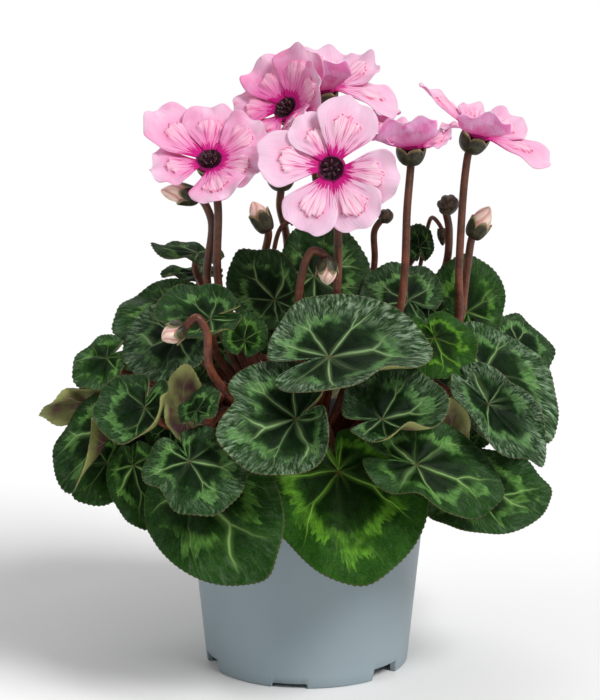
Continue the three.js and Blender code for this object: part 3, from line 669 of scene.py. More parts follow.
def leaf_top():
    recipe = Recipe("leaf upper face", 0.42, 0.07)
    part = vein_pattern(recipe)
    share = part.share
    warm = part.warm
    # The dark middle is partly the leaf's own colour and partly painted shade inside the cupped blade
    inner = recipe.blend(warm, (8, 24, 10), (10, 32, 2))
    outer = recipe.blend(warm, (14, 37, 15), (26, 64, 7))
    recipe.colour(recipe.blend(share.rise(0.35, 0.85), inner, outer))
    cloud = recipe.noise(part.flat, 9.0, 4.0, 0.6).rise(0.35, 0.7)
    recipe.lay(cloud * 0.5 * share.rise(0.1, 0.7), recipe.blend(warm, (38, 70, 34), (48, 94, 17)))
    jag = radial(recipe, part, 3.2, 1.0, 1.6) - 0.5
    spike = part.off_vein.fall(0.0, 0.2) * 0.1
    outer_edge = jag * 0.7 + spike + 0.72
    inner_edge = jag * 0.3 + 0.5
    band = share.fall(outer_edge - 0.05, outer_edge) * share.rise(inner_edge, inner_edge + 0.1)
    patch = recipe.noise(part.flat, 3.0, 2.0).rise(0.4, 0.56)
    grain = radial(recipe, part, 11.0, 6.0, 2.2).rise(0.36, 0.64)
    band = band * (patch * (grain * 0.6 + 0.4))
    # Fine pale speckle on the outer part: painted glints of the leaf's fine grain
    glint_speckle = recipe.noise(part.flat, 60.0, 2.0, 0.7).rise(0.5, 0.68) * share.rise(0.3, 0.7)
    recipe.lay(glint_speckle * 0.1, (116, 150, 104))
    recipe.lay(band * 0.72, recipe.blend(warm, (110, 156, 96), (106, 166, 46)))
    streak = radial(recipe, part, 16.0, 4.0, 1.7, 3.0).rise(0.38, 0.76)
    broad = radial(recipe, part, 4.0, 2.0, 1.5).rise(0.36, 0.6)
    fine = streak * (broad * 0.7 + 0.3)
    # Silver marbling near the rim, which also stands in for the leaf's sheen as painted highlight
    marbling_and_sheen = share.rise(0.5, 0.95) * (fine * part.marbling_and_sheen)
    recipe.lay(marbling_and_sheen * 0.8, (172, 200, 164))
    fading = part.strength * share.fall(0.55, 0.97)
    fading = fading * (share.rise(0.03, 0.3) * 0.6 + 0.4)
    vein_colour = recipe.blend(warm, (158, 192, 136), (134, 188, 72))
    recipe.lay(part.halo * fading * 0.25, vein_colour)
    recipe.lay(part.vein * fading * 0.82, vein_colour)
    recipe.lay(share.fall(0.015, 0.06), (84, 50, 34))
    recipe.lay(share.rise(0.98, 1.0) * 0.3, (98, 104, 64))
    recipe.lay(share.rise(1.004, 1.016) * 0.6, (116, 84, 62))
    net = recipe.cells(part.flat, 22.0).rise(0.0, 0.2)
    pores = recipe.noise(part.flat, 70.0, 3.0, 0.6)
    recipe.bump(net * 0.12 + part.vein * -0.7 + pores * 0.5, 0.5, 0.7)
    recipe.roughness(cloud * 0.12 + 0.36)
    return recipe.material


LEAF_TOP = leaf_top()
print("nodes in the upper face's finish:", len(LEAF_TOP.node_tree.nodes))

# %% [markdown]
# The under face is duller and mauve to olive, and its veins stand out. It is a finish of its own on
# the same mesh, because mixing the two by which way a face points would fail where a leaf curls.

# %% Under face of a leaf


def leaf_under():
    recipe = Recipe("leaf under face", 0.55, 0.3)
    part = vein_pattern(recipe)
    tint = recipe.noise(part.flat, 2.2, 2.0).rise(0.4, 0.6)
    fresh = recipe.blend(part.warm, (92, 90, 50), (124, 130, 68))
    recipe.colour(recipe.blend(tint, (92, 56, 60), fresh))
    recipe.lay(part.share.rise(0.7, 0.95), (150, 154, 92))
    recipe.lay(part.vein * 0.6, (168, 142, 116))
    net = recipe.cells(part.flat, 16.0).fall(0.0, 0.12)
    recipe.bump(net * 0.4 + part.vein, 0.5, 0.7)
    return recipe.material


LEAF_FACES = [LEAF_TOP, leaf_under()]
print("nodes in the under face's finish:", len(LEAF_FACES[1].node_tree.nodes))

# %% [markdown]
# Each leaf is a piece of its own, which stands for the CAD leaf of the same name. Seven small young
# leaves fill the gaps low among the stalks. No CAD node stands for them, so they are one more piece.

# %% Leaves
YOUNG_LOOK = (0.3, 0.0)
YOUNG_NUMBER = 60
YOUNG_LEAVES = [leaf_row(at, turn, size, look=YOUNG_LOOK) for at, turn, size in (
    ((-58, -40, 118), (-100, -62, 10), (15, 12)), ((-70, -30, 110), (-120, -60, 0), (14, 12)),
    ((-72, -16, 141), (-130, -55, 0), (13, 11)), ((-16, -12, 154), (-95, -55, 0), (12, 11)),
    ((53, 2, 161), (-80, -50, 0), (12, 11)), ((45, -10, 140), (-85, -55, 0), (13, 11)),
    ((70, -28, 117), (-70, -60, 0), (14, 12)),
)]
young_skins = [blade_skin(leaf, YOUNG_NUMBER + k) for k, leaf in enumerate(YOUNG_LEAVES)]
dress(piece_from("young_leaves", young_skins, LEAF_FACES), "blade")

blade_faces = 0
for number, (name, leaf) in enumerate(LEAVES.items()):
    blade = piece_from(f"blade_{name}", [blade_skin(leaf, number)], LEAF_FACES)
    dress(blade, "blade", f"leaf_{name}")
    blade_faces += len(blade.data.polygons)
print("young leaves:", len(young_skins), "faces of the other blades:", blade_faces)

# %% [markdown]
# A flower leans from straight up towards its heading, which is counted in degrees from +X. Each row
# has its eye, heading and lean, then its petals as angle, length, half width and how far each is
# swept back, and last the points that its stem passes. In the flower's own frame +X is its up side
# and +Z is the way it faces.

# %% Flower rows
EYE_RADIUS = 6
THROAT_DEPTH = 2.6
CALYX_DEPTH = 7
PETAL_ROLL = 9
SEAT_GAP = 0.3


def facing(row):
    heading = math.radians(row["heading"])
    lean = math.radians(row["lean"])
    return Vector((
        math.sin(lean) * math.cos(heading), math.sin(lean) * math.sin(heading), math.cos(lean)))


def flower_matrix(flower):
    heading = math.radians(flower["heading"])
    normal = facing(flower)
    right = Vector((-math.sin(heading), math.cos(heading), 0))
    turn = Matrix((normal.cross(right), -right, normal)).transposed().to_4x4()
    return Matrix.Translation(flower["eye"]) @ turn


def flower_row(eye, heading, lean, petals, route):
    return {"eye": eye, "heading": heading, "lean": lean, "petals": petals, "route": route}


FLOWERS = {
    "front": flower_row((10, -45, 229), -90, 74, [
        (72, 30, 13, 8), (118, 25, 11, 12), (170, 31, 12, 6),
        (246, 29, 12, 4), (302, 28, 12, 6), (350, 28, 12, 4),
    ], [(4, -8, 98), (10, -26, 140), (13, -35, 185), (12, -34, 215)]),
    "left": flower_row((-41, -30, 229), -100, 42, [
        (40, 26, 12, 0), (98, 26, 12, 0), (148, 33, 12, -6),
        (205, 25, 11, 2), (292, 24, 12, 4), (345, 24, 10, 0),
    ], [(-6, -5, 98), (-28, -15, 140), (-38, -24, 175), (-38, -30, 211)]),
    "top_left": flower_row((-8, -8, 248), -130, 52, [
        (35, 24, 12, -14), (88, 27, 13, -8), (138, 28, 13, 0),
        (190, 26, 12, 4), (255, 18, 10, 0), (325, 20, 10, -14),
    ], [(0, 8, 98), (4, 26, 150), (6, 28, 190), (0, 2, 235)]),
    "top": flower_row((7, 12, 253), -90, 6, [
        (35, 27, 12, -14), (90, 25, 12, -20), (150, 19, 10, -14),
        (205, 15, 9, -20), (272, 23, 13, -32), (348, 34, 11, 28),
    ], [(6, 8, 98), (14, 26, 150), (15, 30, 190), (8, 16, 235)]),
    "right": flower_row((44.5, -10, 232), -90, 6, [
        (345, 18, 9, -4), (45, 14, 9, -8), (95, 17, 10, -10),
        (142, 24, 11, -14), (198, 19, 10, -4), (268, 22, 13, -32),
    ], [(9, -5, 98), (29, -22, 135), (40, -23, 165), (43, -14, 208)]),
    "far_right": flower_row((72.5, 0, 235.3), -10, 22, [
        (60, 34, 13, 0), (15, 20, 10, -12), (325, 24, 11, -15),
        (270, 34, 12, 11), (104, 16, 9, 24), (195, 20, 12, -26),
    ], [(12, -2, 98), (48, -10, 126), (65, -6, 152), (66, -5, 180), (68, -2, 216)]),
    "back_left": flower_row((-11.5, 13, 217), -90, 8, [
        (10, 11, 5, -6), (70, 16, 9, -12), (130, 19, 10, -10),
        (190, 20, 11, 0), (248, 17, 10, -28), (300, 14, 7, -14),
    ], [(-4, 9, 98), (-8, 28, 150), (-9, 28, 185), (-12, 17, 202)]),
}
print("flowers:", len(FLOWERS), "petals:", sum(len(flower["petals"]) for flower in FLOWERS.values()))

# %% [markdown]
# A petal is a swept sheet, narrow at the eye and broad near the end, with a crinkled tongue along
# its middle whose frilled end stands up. Cloth would crumple it by chance. Here s runs along the
# petal and t across it, and each wave is a term of its own, so it can be set against the photograph.
# The waves across follow the distance from the middle, so they fade where the petal narrows.

# %% Petal skin
PETAL_ROWS = 44
PETAL_COLUMNS = 30
PETAL_THICKNESS = 0.5
PETAL_RISE = 12
PETAL_ROOT_SHARE = 0.75
PETAL_OVERRUN = 1.02
TONGUE_END = 0.68
TONGUE_HEIGHT = 1.4


def smooth_step(value, low, high):
    share = np.clip((value - low) / (high - low), 0, 1)
    return share * share * (3 - 2 * share)


def petal_breadth(s):
    """Half width along the petal, as a share of its widest: a narrow claw, then a broad round end."""
    body = 0.21 + 0.83 * np.sin(np.pi / 2 * np.clip(s / 0.7, 0, 1)) ** 1.35
    end = (1 - np.clip((s - 0.56) / 0.445, 0, 0.999) ** 2.6) ** 0.45
    return body * end


def tongue_share(s, t, seed):
    """1 on the raised tongue of a petal, 0 beside and beyond it."""
    half_tongue = 0.2 + 0.24 * smooth_step(s, 0.15, 0.55) + 0.04 * np.sin(21 * s + seed)
    frill = 0.022 * np.sin(19 * t + seed) + 0.014 * np.sin(41 * t + 2 * seed)
    tongue_end = TONGUE_END + 0.05 * np.sin(3 * seed)
    sides = 1 - smooth_step(np.abs(t), half_tongue, half_tongue + 0.1)
    lip = 1 - smooth_step(s + (0.6 * t * t + frill), tongue_end, tongue_end + 0.05)
    return sides * lip * smooth_step(s, 0.2, 0.55)


def petal_skin(length, half_width, back, seed, ruffle_height):
    s = 1 - (1 - np.linspace(0, 1, PETAL_ROWS)) ** 1.35
    s, t = np.meshgrid(s, np.linspace(1, -1, PETAL_COLUMNS), indexing="ij")
    root = EYE_RADIUS * PETAL_ROOT_SHARE
    slope = np.radians(PETAL_RISE - back * s)
    beside = t * petal_breadth(s)
    notch = 0.03 * np.sin(4 * beside + seed) + 0.018 * np.sin(9 * beside + 3 * seed)
    out = root + (length * PETAL_OVERRUN - root) * s * (1 - 0.03 * beside ** 2 * s + notch * s ** 3)
    uneven = 1 + 0.04 * np.sin(9 * s + 2 * seed + 2 * np.sign(t)) * smooth_step(s, 0.3, 0.6)
    tongue = tongue_share(s, t, seed)
    pleats = 0.2 * np.cos(19 * t + 2.5 * np.sin(3 * s + seed)) * tongue
    edge = np.abs(beside) ** 3 * np.sin(12 * s * (1 + 0.15 * np.sin(seed)) + seed + 1.5 * beside) * s
    end_wave = smooth_step(s, 0.7, 1) * np.sin(6 * beside + seed)
    ruffle = ruffle_height * (edge + end_wave)
    cup = half_width * 0.12 * beside ** 2 * s
    wave = 0.7 * s * np.sin(1.5 * np.pi * beside + length)
    z = out * np.sin(slope) + wave + ruffle + cup + TONGUE_HEIGHT * tongue + pleats
    middle = np.stack([out * np.cos(slope), half_width * uneven * beside, z], axis=-1)
    half = np.array([0, 0, PETAL_THICKNESS / 2])
    rings = np.concatenate([middle + half, (middle - half)[:, ::-1]], axis=1)
    above = np.stack([s, t, tongue], axis=-1)
    below = np.stack([s, t, np.full_like(s, -1.0)], axis=-1)[:, ::-1]
    values = {"petal_place": np.concatenate([above, below], axis=1)}
    return skin_of(rings, middle[0].mean(axis=0), middle[-1].mean(axis=0), values, 0)


print("points in a petal:", 2 * PETAL_ROWS * PETAL_COLUMNS + 2)

# %% [markdown]
# The eye is a low dark ring with a dished middle, which hides where the six claws meet. A turned
# profile gives it in ten points.

# %% Eye of the flower
EYE_COLUMNS = 48
EYE_PROFILE = [(0.5, 0), (4.2, 0), (5.6, 0.9), (6.1, 1.8), (5.9, 2.6), (5.2, 2.9), (4.6, 2.6),
               (3.8, 2.0), (2.6, 1.8), (1.2, 1.9)]


def eye_finish():
    recipe = mottled("flower eye", (0.45, 0.2), (900.0, 2.0), (0.4, 0.7), ((28, 1, 16), (66, 6, 38)), 0.4)
    share, _, _ = recipe.point_value("petal_place")
    recipe.lay(share.rise(0.05, 0.15) * share.fall(0.5, 0.62), (150, 0, 92))
    return recipe.material


EYE = eye_finish()
print("eye is", 2 * max(radius for radius, height in EYE_PROFILE), "mm wide")

# %% [markdown]
# Petals are pale lilac-pink at the rim, warmer pink in the middle, whitish on the tongue with a hot
# pink frill, and deep magenta in spikes round the eye. Colour by distance from the eye alone would
# draw rings, so noise that is stretched along the petal breaks each edge into fine lines. A little
# subsurface scattering lets light through, as in the real petal, and the under face is painted
# lighter, as painted light that comes through the thin petal into its shaded side.

# %% Petal finish


def petal_finish():
    recipe = Recipe("petal", 0.5, 0.2)
    depth = recipe.point_number("pink_depth")
    s, t, tongue = recipe.point_value("petal_place")
    seed = recipe.noise(recipe.place(), 14.0, 1.0)
    width = recipe.math("ABSOLUTE", t)
    raised = recipe.math("MAXIMUM", tongue, 0.0)
    lines = recipe.noise(recipe.spot(t * 9.0, s, seed * 6.0), 1.6, 3.0, 0.6)
    line = lines.rise(0.46, 0.62)
    flush = width.fall(0.3, 0.95) * s.fall(0.5, 0.95)
    recipe.colour(recipe.blend(flush, (238, 202, 222), (240, 176, 208)))
    washed = recipe.spot(t * 1.5, s * 2.0, seed * 4.0)
    blush = recipe.noise(washed, 1.6, 2.0).rise(0.45, 0.7)
    recipe.lay(blush * (depth * 0.7), (236, 118, 176))
    deep = depth * s.fall(0.35, 1.1)
    recipe.lay(deep, (226, 104, 172))
    recipe.lay(line * 0.1, (224, 118, 172))
    tongue_colour = recipe.blend(line, (248, 212, 224), (236, 142, 182))
    tongue_colour = recipe.blend(deep * 0.6, tongue_colour, (232, 120, 176))
    recipe.lay(raised * 0.85, tongue_colour)
    edge = raised * (1.0 - raised) * 4.0
    broken = recipe.noise(recipe.spot(t * 6.0, s * 6.0, seed), 2.2).rise(0.42, 0.58)
    fringe = edge.rise(0.35, 0.9) * s.rise(0.42, 0.6) * broken
    recipe.lay(fringe * 0.8, (214, 44, 108))
    vein_reach = lines * 1.1 - 0.1
    vein = lines.rise(0.5, 0.6) * s.fall(vein_reach - 0.25, vein_reach)
    recipe.lay(vein * 0.75, (196, 34, 132))
    recipe.lay(s.fall(0.08, 0.36) * 0.4, (226, 84, 168))
    spikes = recipe.noise(recipe.spot(t * 4.5, seed * 9.0), 1.7, 2.0, 0.7)
    reach = spikes * 0.52 - 0.095
    recipe.lay(s.fall(reach - 0.01, reach + 0.02), (196, 0, 122))
    recipe.lay(s.fall(0.02, 0.05), (110, 0, 70))
    # The under face is painted lighter, as painted light that comes through the thin petal into its shaded
    # side
    below = recipe.blend(s.rise(0.1, 0.6), (224, 60, 156), (252, 180, 222))
    below = recipe.blend(blush * 0.65, below, (234, 92, 168))
    below = recipe.blend(line * 0.3, below, (224, 104, 178))
    recipe.colour(recipe.blend(tongue.rise(-0.6, -0.4), below, recipe.painted))
    recipe.surface["Subsurface Weight"].default_value = 0.25
    recipe.surface["Subsurface Radius"].default_value = (1.0, 0.35, 0.5)
    recipe.surface["Subsurface Scale"].default_value = 1.2 * MM
    fibre = recipe.noise(recipe.spot(t * 40.0, s * 3.0, seed), 1.0, 2.0)
    recipe.bump(lines + fibre * 0.5, 0.2, 0.7)
    return recipe.material


PETAL = petal_finish()
print("nodes in the petal finish:", len(PETAL.node_tree.nodes))

# %% [markdown]
# Six petals and an eye make one bloom. Some blooms are deeper pink and some more ruffled, as in the
# photograph. The depth of pink is a number on the points, so all blooms share one material.

# %% Flowers
PINK_DEPTHS = {
    "front": 0.0, "left": 0.5, "top_left": 0.8, "top": 0.1, "right": 0.6, "far_right": 0.35,
    "back_left": 0.6,
}
PETAL_RUFFLES = {
    "front": 1.0, "left": 1.6, "top_left": 1.5, "top": 1.7, "right": 1.8, "far_right": 1.3,
    "back_left": 1.6,
}

for number, (name, flower) in enumerate(FLOWERS.items()):
    matrix = flower_matrix(flower)
    skins = [lathe_skin(EYE_PROFILE, EYE_COLUMNS, "petal_place", paint=1).moved(matrix)]
    for k, (angle, length, half_width, back) in enumerate(flower["petals"]):
        place = (
            matrix @ Matrix.Rotation(math.radians(angle - 90), 4, "Z")
            @ Matrix.Translation((0, 0, THROAT_DEPTH * 0.5))
            @ Matrix.Rotation(math.radians(PETAL_ROLL), 4, "X")
        )
        petal = petal_skin(length, half_width, back, 1.7 * k + 2.3 * number, PETAL_RUFFLES[name])
        skins.append(petal.moved(place))
    bloom = piece_from(f"bloom_{name}", skins, [PETAL, EYE])
    depth = bloom.data.attributes.new("pink_depth", "FLOAT", "POINT")
    depth.data.foreach_set("value", [PINK_DEPTHS[name]] * len(bloom.data.vertices))
    dress(bloom, "petal", f"petals_{name}")
print("faces of the last bloom:", len(bloom.data.polygons))

# %% [markdown]
# Stamens, stems and crumbs repeat, so Geometry Nodes make them. A grower is a tree with named inputs
# for its sizes. It ends in Realize Instances and Set Material, because instances aren't exported, and
# its result is kept as a plain mesh.

# %% Growers


class Grower(Wiring):
    def __init__(self, name, base, sizes):
        super().__init__(bpy.data.node_groups.new(name, "GeometryNodeTree"))
        kinds = {base: "Geometry"}
        for label, size in sizes.items():
            kinds[label] = "Int" if isinstance(size, int) else "Float"
        kinds["Finish"] = "Material"
        self.identifiers = {}
        for label, kind in kinds.items():
            socket = self.tree.interface.new_socket(label, in_out="INPUT", socket_type="NodeSocket" + kind)
            if label in sizes:
                socket.default_value = sizes[label]
            self.identifiers[label] = socket.identifier
        self.tree.interface.new_socket(name, in_out="OUTPUT", socket_type="NodeSocketGeometry")
        source = self.tree.nodes.new("NodeGroupInput")
        self.given = {label: Value(self, source.outputs[label]) for label in kinds}

    def set_on(self, points, shape, **inputs):
        """An instance of a shape on each point."""
        return self.node("GeometryNodeInstanceOnPoints", {"Points": points, "Instance": shape} | inputs)

    def end(self, shapes, smooth):
        whole = self.node("GeometryNodeRealizeInstances", {0: shapes})
        if smooth:
            whole = self.node("GeometryNodeSetShadeSmooth", {0: whole})
        painted = self.node("GeometryNodeSetMaterial", {0: whole, "Material": self.given["Finish"]})
        self.feed(self.tree.nodes.new("NodeGroupOutput").inputs[0], painted)

    def grow(self, name, data, finish):
        """Runs the tree on a mesh or on curves."""
        maker = add_object(name + " maker", data)
        modifier = maker.modifiers.new(name, "NODES")
        modifier.node_group = self.tree
        modifier[self.identifiers["Finish"]] = finish
        return baked(maker, name)


def baked(item, name):
    """The evaluated object as a plain mesh object; the maker object is removed."""
    bpy.context.view_layer.update()
    solid = item.evaluated_get(bpy.context.evaluated_depsgraph_get())
    mesh = bpy.data.meshes.new_from_object(solid)
    mesh.name = name
    bpy.data.objects.remove(item)
    return add_object(name, mesh)


# %% [markdown]
# In each eye stands a ring of small anthers round a paler stigma. The tree makes one cluster of
# cones, and sets it on a point for every eye, turned the way that flower faces.

# %% Stamens
STAMEN_RISE = 1.9
CONE = {"Vertices": 8, "Side Segments": 3}


def stamen_grower():
    grower = Grower("stamens", "Eyes", {
        "Count": 7, "Ring": 2.1 * MM, "Length": 3.4 * MM, "Width": 0.75 * MM})
    given = grower.given
    ring = grower.node("GeometryNodeMeshCircle", {"Vertices": given["Count"], "Radius": given["Ring"]})
    anther = grower.node("GeometryNodeMeshCone", CONE | {
        "Radius Top": 0.25 * MM, "Radius Bottom": given["Width"], "Depth": given["Length"]})
    stigma = grower.node("GeometryNodeMeshCone", CONE | {
        "Radius Top": 0.35 * MM, "Radius Bottom": 0.5 * MM, "Depth": 5.2 * MM})
    place = grower.node("GeometryNodeInputPosition")
    slant = grower.node("ShaderNodeVectorMath", {0: place, 1: (0, 0, 5 * MM)}, operation="ADD")
    lean = grower.node("FunctionNodeAlignRotationToVector", {"Vector": slant}, axis="Z")
    row = grower.set_on(ring, anther, Rotation=lean)
    cluster = grower.node("GeometryNodeJoinGeometry", {0: [row, stigma]})
    turn = grower.node("GeometryNodeInputNamedAttribute", {"Name": "eye_turn"}, data_type="FLOAT_VECTOR")
    grower.end(grower.set_on(given["Eyes"], cluster, Rotation=turn), smooth=True)
    return grower


stamen_finish = mottled(
    "stamen", (0.6, 0.3), (1500.0, 2.0), (0.45, 0.7), ((52, 14, 34), (158, 118, 122)), 0.3)
matrices = [flower_matrix(flower) for flower in FLOWERS.values()]
eyes = bpy.data.meshes.new("eyes")
eyes.from_pydata([matrix @ Vector((0, 0, STAMEN_RISE)) * MM for matrix in matrices], [], [])
eye_turns = eyes.attributes.new("eye_turn", "FLOAT_VECTOR", "POINT")
eye_turns.data.foreach_set("vector", [angle for matrix in matrices for angle in matrix.to_euler()])
stamens = dress(stamen_grower().grow("stamens", eyes, stamen_finish.material), "petal")
print("stamen faces:", len(stamens.data.polygons))

# %% [markdown]
# Buds hang or stand on stems of their own. Five have begun to show pale petal tips, and four young
# ones are still shut. Each row has its foot, heading, lean, then radius, cup depth and tip length, or
# radius and length for a young one, and last the points that its stem passes.

# %% Bud rows


def bud_row(foot, heading, lean, size, route):
    return {"foot": foot, "heading": heading, "lean": lean, "size": size, "route": route}


BUDS = {
    "left": bud_row((-46, -22, 213), 180, 80, (4.6, 8, 9),
                    [(-9, -4, 98), (-32, -13, 140), (-43, -20, 175), (-41, -22, 203)]),
    "left_back": bud_row((-17, 4, 193), 160, 30, (4.6, 9, 6),
                         [(-6, 4, 98), (-22, 16, 150), (-20, 14, 175)]),
    "right": bud_row((72, 5, 190), 0, 28, (4.8, 8, 8),
                     [(12, 3, 98), (50, 2, 126), (66, 5, 150), (70, 6, 175)]),
    "hooked": bud_row((8, -42, 191), -80, 165, (4.6, 6, 6),
                      [(1, -10, 98), (-3, -32, 150), (-3, -43, 180), (2, -44, 194)]),
    "low_hooked": bud_row((-51, -70, 167), -160, 115, (4.8, 5, 6),
                          [(-6, -9, 98), (-32, -50, 132), (-41, -68, 150), (-42, -70, 165), (-46, -70, 171)]),
}
YOUNG_BUDS = {
    "right_back": bud_row((61, 21, 201), -60, 60, (4.6, 9),
                          [(9, 6, 98), (42, 24, 140), (61, 28, 170), (63, 25, 190)]),
    "middle_back": bud_row((34, 22, 196), -60, 60, (3.4, 6),
                           [(8, 9, 98), (24, 28, 140), (30, 26, 175), (30, 24, 190)]),
    "small_hooked": bud_row((60, 33, 189), 0, 175, (2.2, 8),
                            [(8, 9, 98), (34, 21, 145), (49, 33, 166), (53, 42, 182), (56, 38, 193)]),
    "curled": bud_row((-8, 12, 196), 0, 60, (2.4, 5),
                      [(-2, 10, 98), (-16, 20, 150), (-14, 14, 186), (-11, 12, 194)]),
}
print("buds:", len(BUDS), "young buds:", len(YOUNG_BUDS))

# %% [markdown]
# The calyx is a shallow cup of five broad sepals, and a bud is a bundle of petals that are furled
# round each other. Separate sepals and petals would leave slits at this size, so each is one turned
# skin, which a fold function pushes into lobes or winding ridges.

# %% Calyx and bud skins
SEPALS = 5
SEPAL_THICKNESS = 0.45
CUP_ROWS = 14
BUD_ROWS = 26
CUP_COLUMNS = 80
SCAPE_RADIUS = 1.8


def stand(foot, direction):
    """Sets what points up on its foot, and turns it along the direction."""
    turn = Vector((0, 0, 1)).rotation_difference(direction)
    return Matrix.Translation(foot) @ turn.to_matrix().to_4x4()


def cup_skin(radius, depth, point):
    """Cup of sepals: the rim rises to a point in the middle of each sepal."""
    rows = np.linspace(0, 1, CUP_ROWS)
    outer = SCAPE_RADIUS + (radius - SCAPE_RADIUS) * np.sin(np.pi / 2 * rows) ** 0.7
    heights = depth * (1 - np.cos(np.pi / 2 * rows)) ** 0.8
    inner = np.maximum(outer[::-1] - SEPAL_THICKNESS, 0.3)
    profile = list(zip(outer, heights)) + list(zip(inner, heights[::-1] + 0.35))
    share = np.concatenate([rows, rows[::-1]])[:, None]

    def fold(radius_grid, height_grid, angle):
        lobe = np.abs(np.cos(SEPALS * angle / 2)) ** 0.6
        seam = 1 - 0.05 * np.exp(-(((1 - lobe) / 0.35 - 1) ** 2) * 4) * share
        rise = point * share ** 2 * (lobe - 0.55)
        return radius_grid * seam + 0.1 * rise, height_grid + rise

    return lathe_skin(profile, CUP_COLUMNS, "cup_place", fold)


def bud_skin(radius, length):
    """Furled petals: the ridges wind round the bud as they rise."""
    rows = np.linspace(0.02, 0.99, BUD_ROWS)
    profile = [(radius * (1 - row ** 2.4) ** 0.8 * (0.86 + 0.3 * row), length * row) for row in rows]

    def fold(radius_grid, height_grid, angle):
        ridge = np.abs(np.sin(SEPALS / 2 * (angle - 1.6 * rows[:, None]))) ** 0.7
        return radius_grid * (0.84 + 0.2 * ridge), height_grid

    return lathe_skin(profile, CUP_COLUMNS, "cup_place", fold)


print("degrees from sepal to sepal:", 360 / SEPALS)

# %% [markdown]
# The calyx is green-brown with a pale edge, the furled petals are cream with rosy folds, and a young
# bud is grey-brown and rough. The first two read their place along and round the cup.

# %% Calyx and bud finishes


def calyx_finish():
    recipe = mottled("calyx", (0.45, 0.4), (420.0, 3.0), (0.35, 0.65), ((36, 32, 19), (66, 62, 35)), 0.4)
    share, _, _ = recipe.point_value("cup_place")
    recipe.lay(share.fall(0.02, 0.22), (58, 34, 28))
    recipe.lay(share.rise(0.42, 0.5) * share.fall(0.5, 0.58), (158, 148, 104))
    return recipe.material


def bud_finish():
    recipe = Recipe("bud petals", 0.45, 0.35)
    share, turn, _ = recipe.point_value("cup_place")
    ridge = recipe.math("PINGPONG", turn + share * -0.25, 0.1).rise(0.0, 0.06)
    streak = recipe.noise(recipe.spot(turn * 60.0, share * 3.0), 1.0, 2.0)
    recipe.colour(recipe.blend(streak.rise(0.35, 0.7), (252, 232, 212), (246, 202, 188)))
    recipe.lay(share.fall(0.0, 0.5), (222, 142, 140))
    recipe.lay((1.0 - ridge) * 0.6, (206, 120, 122))
    recipe.surface["Subsurface Weight"].default_value = 0.1
    recipe.surface["Subsurface Scale"].default_value = 2 * MM
    recipe.bump(streak, 0.2)
    return recipe.material


CALYX = calyx_finish()
BUD_PETALS = bud_finish()
young_bud_finish = mottled(
    "young bud", (0.5, 0.4), (500.0, 4.0, 0.6), (0.38, 0.64), ((44, 32, 26), (98, 84, 62)), 0.6)
print("nodes in the calyx finish:", len(CALYX.node_tree.nodes))

# %% [markdown]
# Every flower and bud gets its calyx, at the foot that its stem will grow to. The CAD model has the
# calyxes and young buds in one node with the stalks, so together they stand for that node, while each
# pair of pale petals is a piece of its own.

# %% Calyxes and buds
CUP_MARGIN = 0.6
CUP_OVERLAP = 0.5
SEPAL_POINT = 2.2
BUD_CUP_MARGIN = 0.3
BUD_CUP_SHARE = 0.9
BUD_SEPAL_POINT = 4.0
BUD_SEAT_SHARE = 0.45
BUD_HIDDEN_SHARE = 0.55
BUD_TIP_SHARE = 0.98
YOUNG_BUD_SHARE = 1.05

cups = []
for flower in FLOWERS.values():
    normal = facing(flower)
    flower["foot"] = Vector(flower["eye"]) - normal * (CALYX_DEPTH + SEAT_GAP)
    cup = cup_skin(EYE_RADIUS + CUP_MARGIN, CALYX_DEPTH + CUP_OVERLAP, SEPAL_POINT)
    cups.append(cup.moved(stand(flower["foot"], normal)))
for name, bud in BUDS.items():
    radius, cup_depth, tip_length = bud["size"]
    direction = facing(bud)
    cup = cup_skin(radius + BUD_CUP_MARGIN, cup_depth * BUD_CUP_SHARE, BUD_SEPAL_POINT)
    cups.append(cup.moved(stand(bud["foot"], direction)))
    seat = Vector(bud["foot"]) + direction * (cup_depth * BUD_SEAT_SHARE)
    tip = bud_skin(radius * BUD_TIP_SHARE, tip_length + cup_depth * BUD_HIDDEN_SHARE)
    tip = tip.moved(stand(seat, direction))
    dress(piece_from(f"bud_tip_{name}", [tip], [BUD_PETALS]), "bud", f"bud_{name}")
dress(piece_from("calyxes", cups, [CALYX]), "stalk", "corm_and_stalks")
young = []
for bud in YOUNG_BUDS.values():
    radius, length = bud["size"]
    young.append(bud_skin(radius * YOUNG_BUD_SHARE, length).moved(stand(bud["foot"], facing(bud))))
dress(piece_from("young_buds", young, [young_bud_finish.material]), "stalk", "corm_and_stalks")
print("calyxes:", len(cups), "young buds:", len(young))

# %% [markdown]
# A stalk leaves the corm, arches outwards and as a rule meets its leaf from below. Straight tubes
# would look like wire, so each route is a smooth curve through a few points. Leaves that grow high
# have their roots near the middle of the corm, and low ones near its edge.

# %% Routes of the stalks
ROUTE_STEPS = 10
LEAF_STALK_HOOK = 8
LEAF_STALK_ARCH = 5
LEAF_STALK_CREST = 117
LEAF_ROOT_HEIGHT = 97
STALK_BEND_SHARE = 0.55
LOW_LEAF = 95
LOW_LEAF_ROOT = 16
HIGH_LEAF = 160
HIGH_LEAF_ROOT = 8
ROOT_SINK = 8


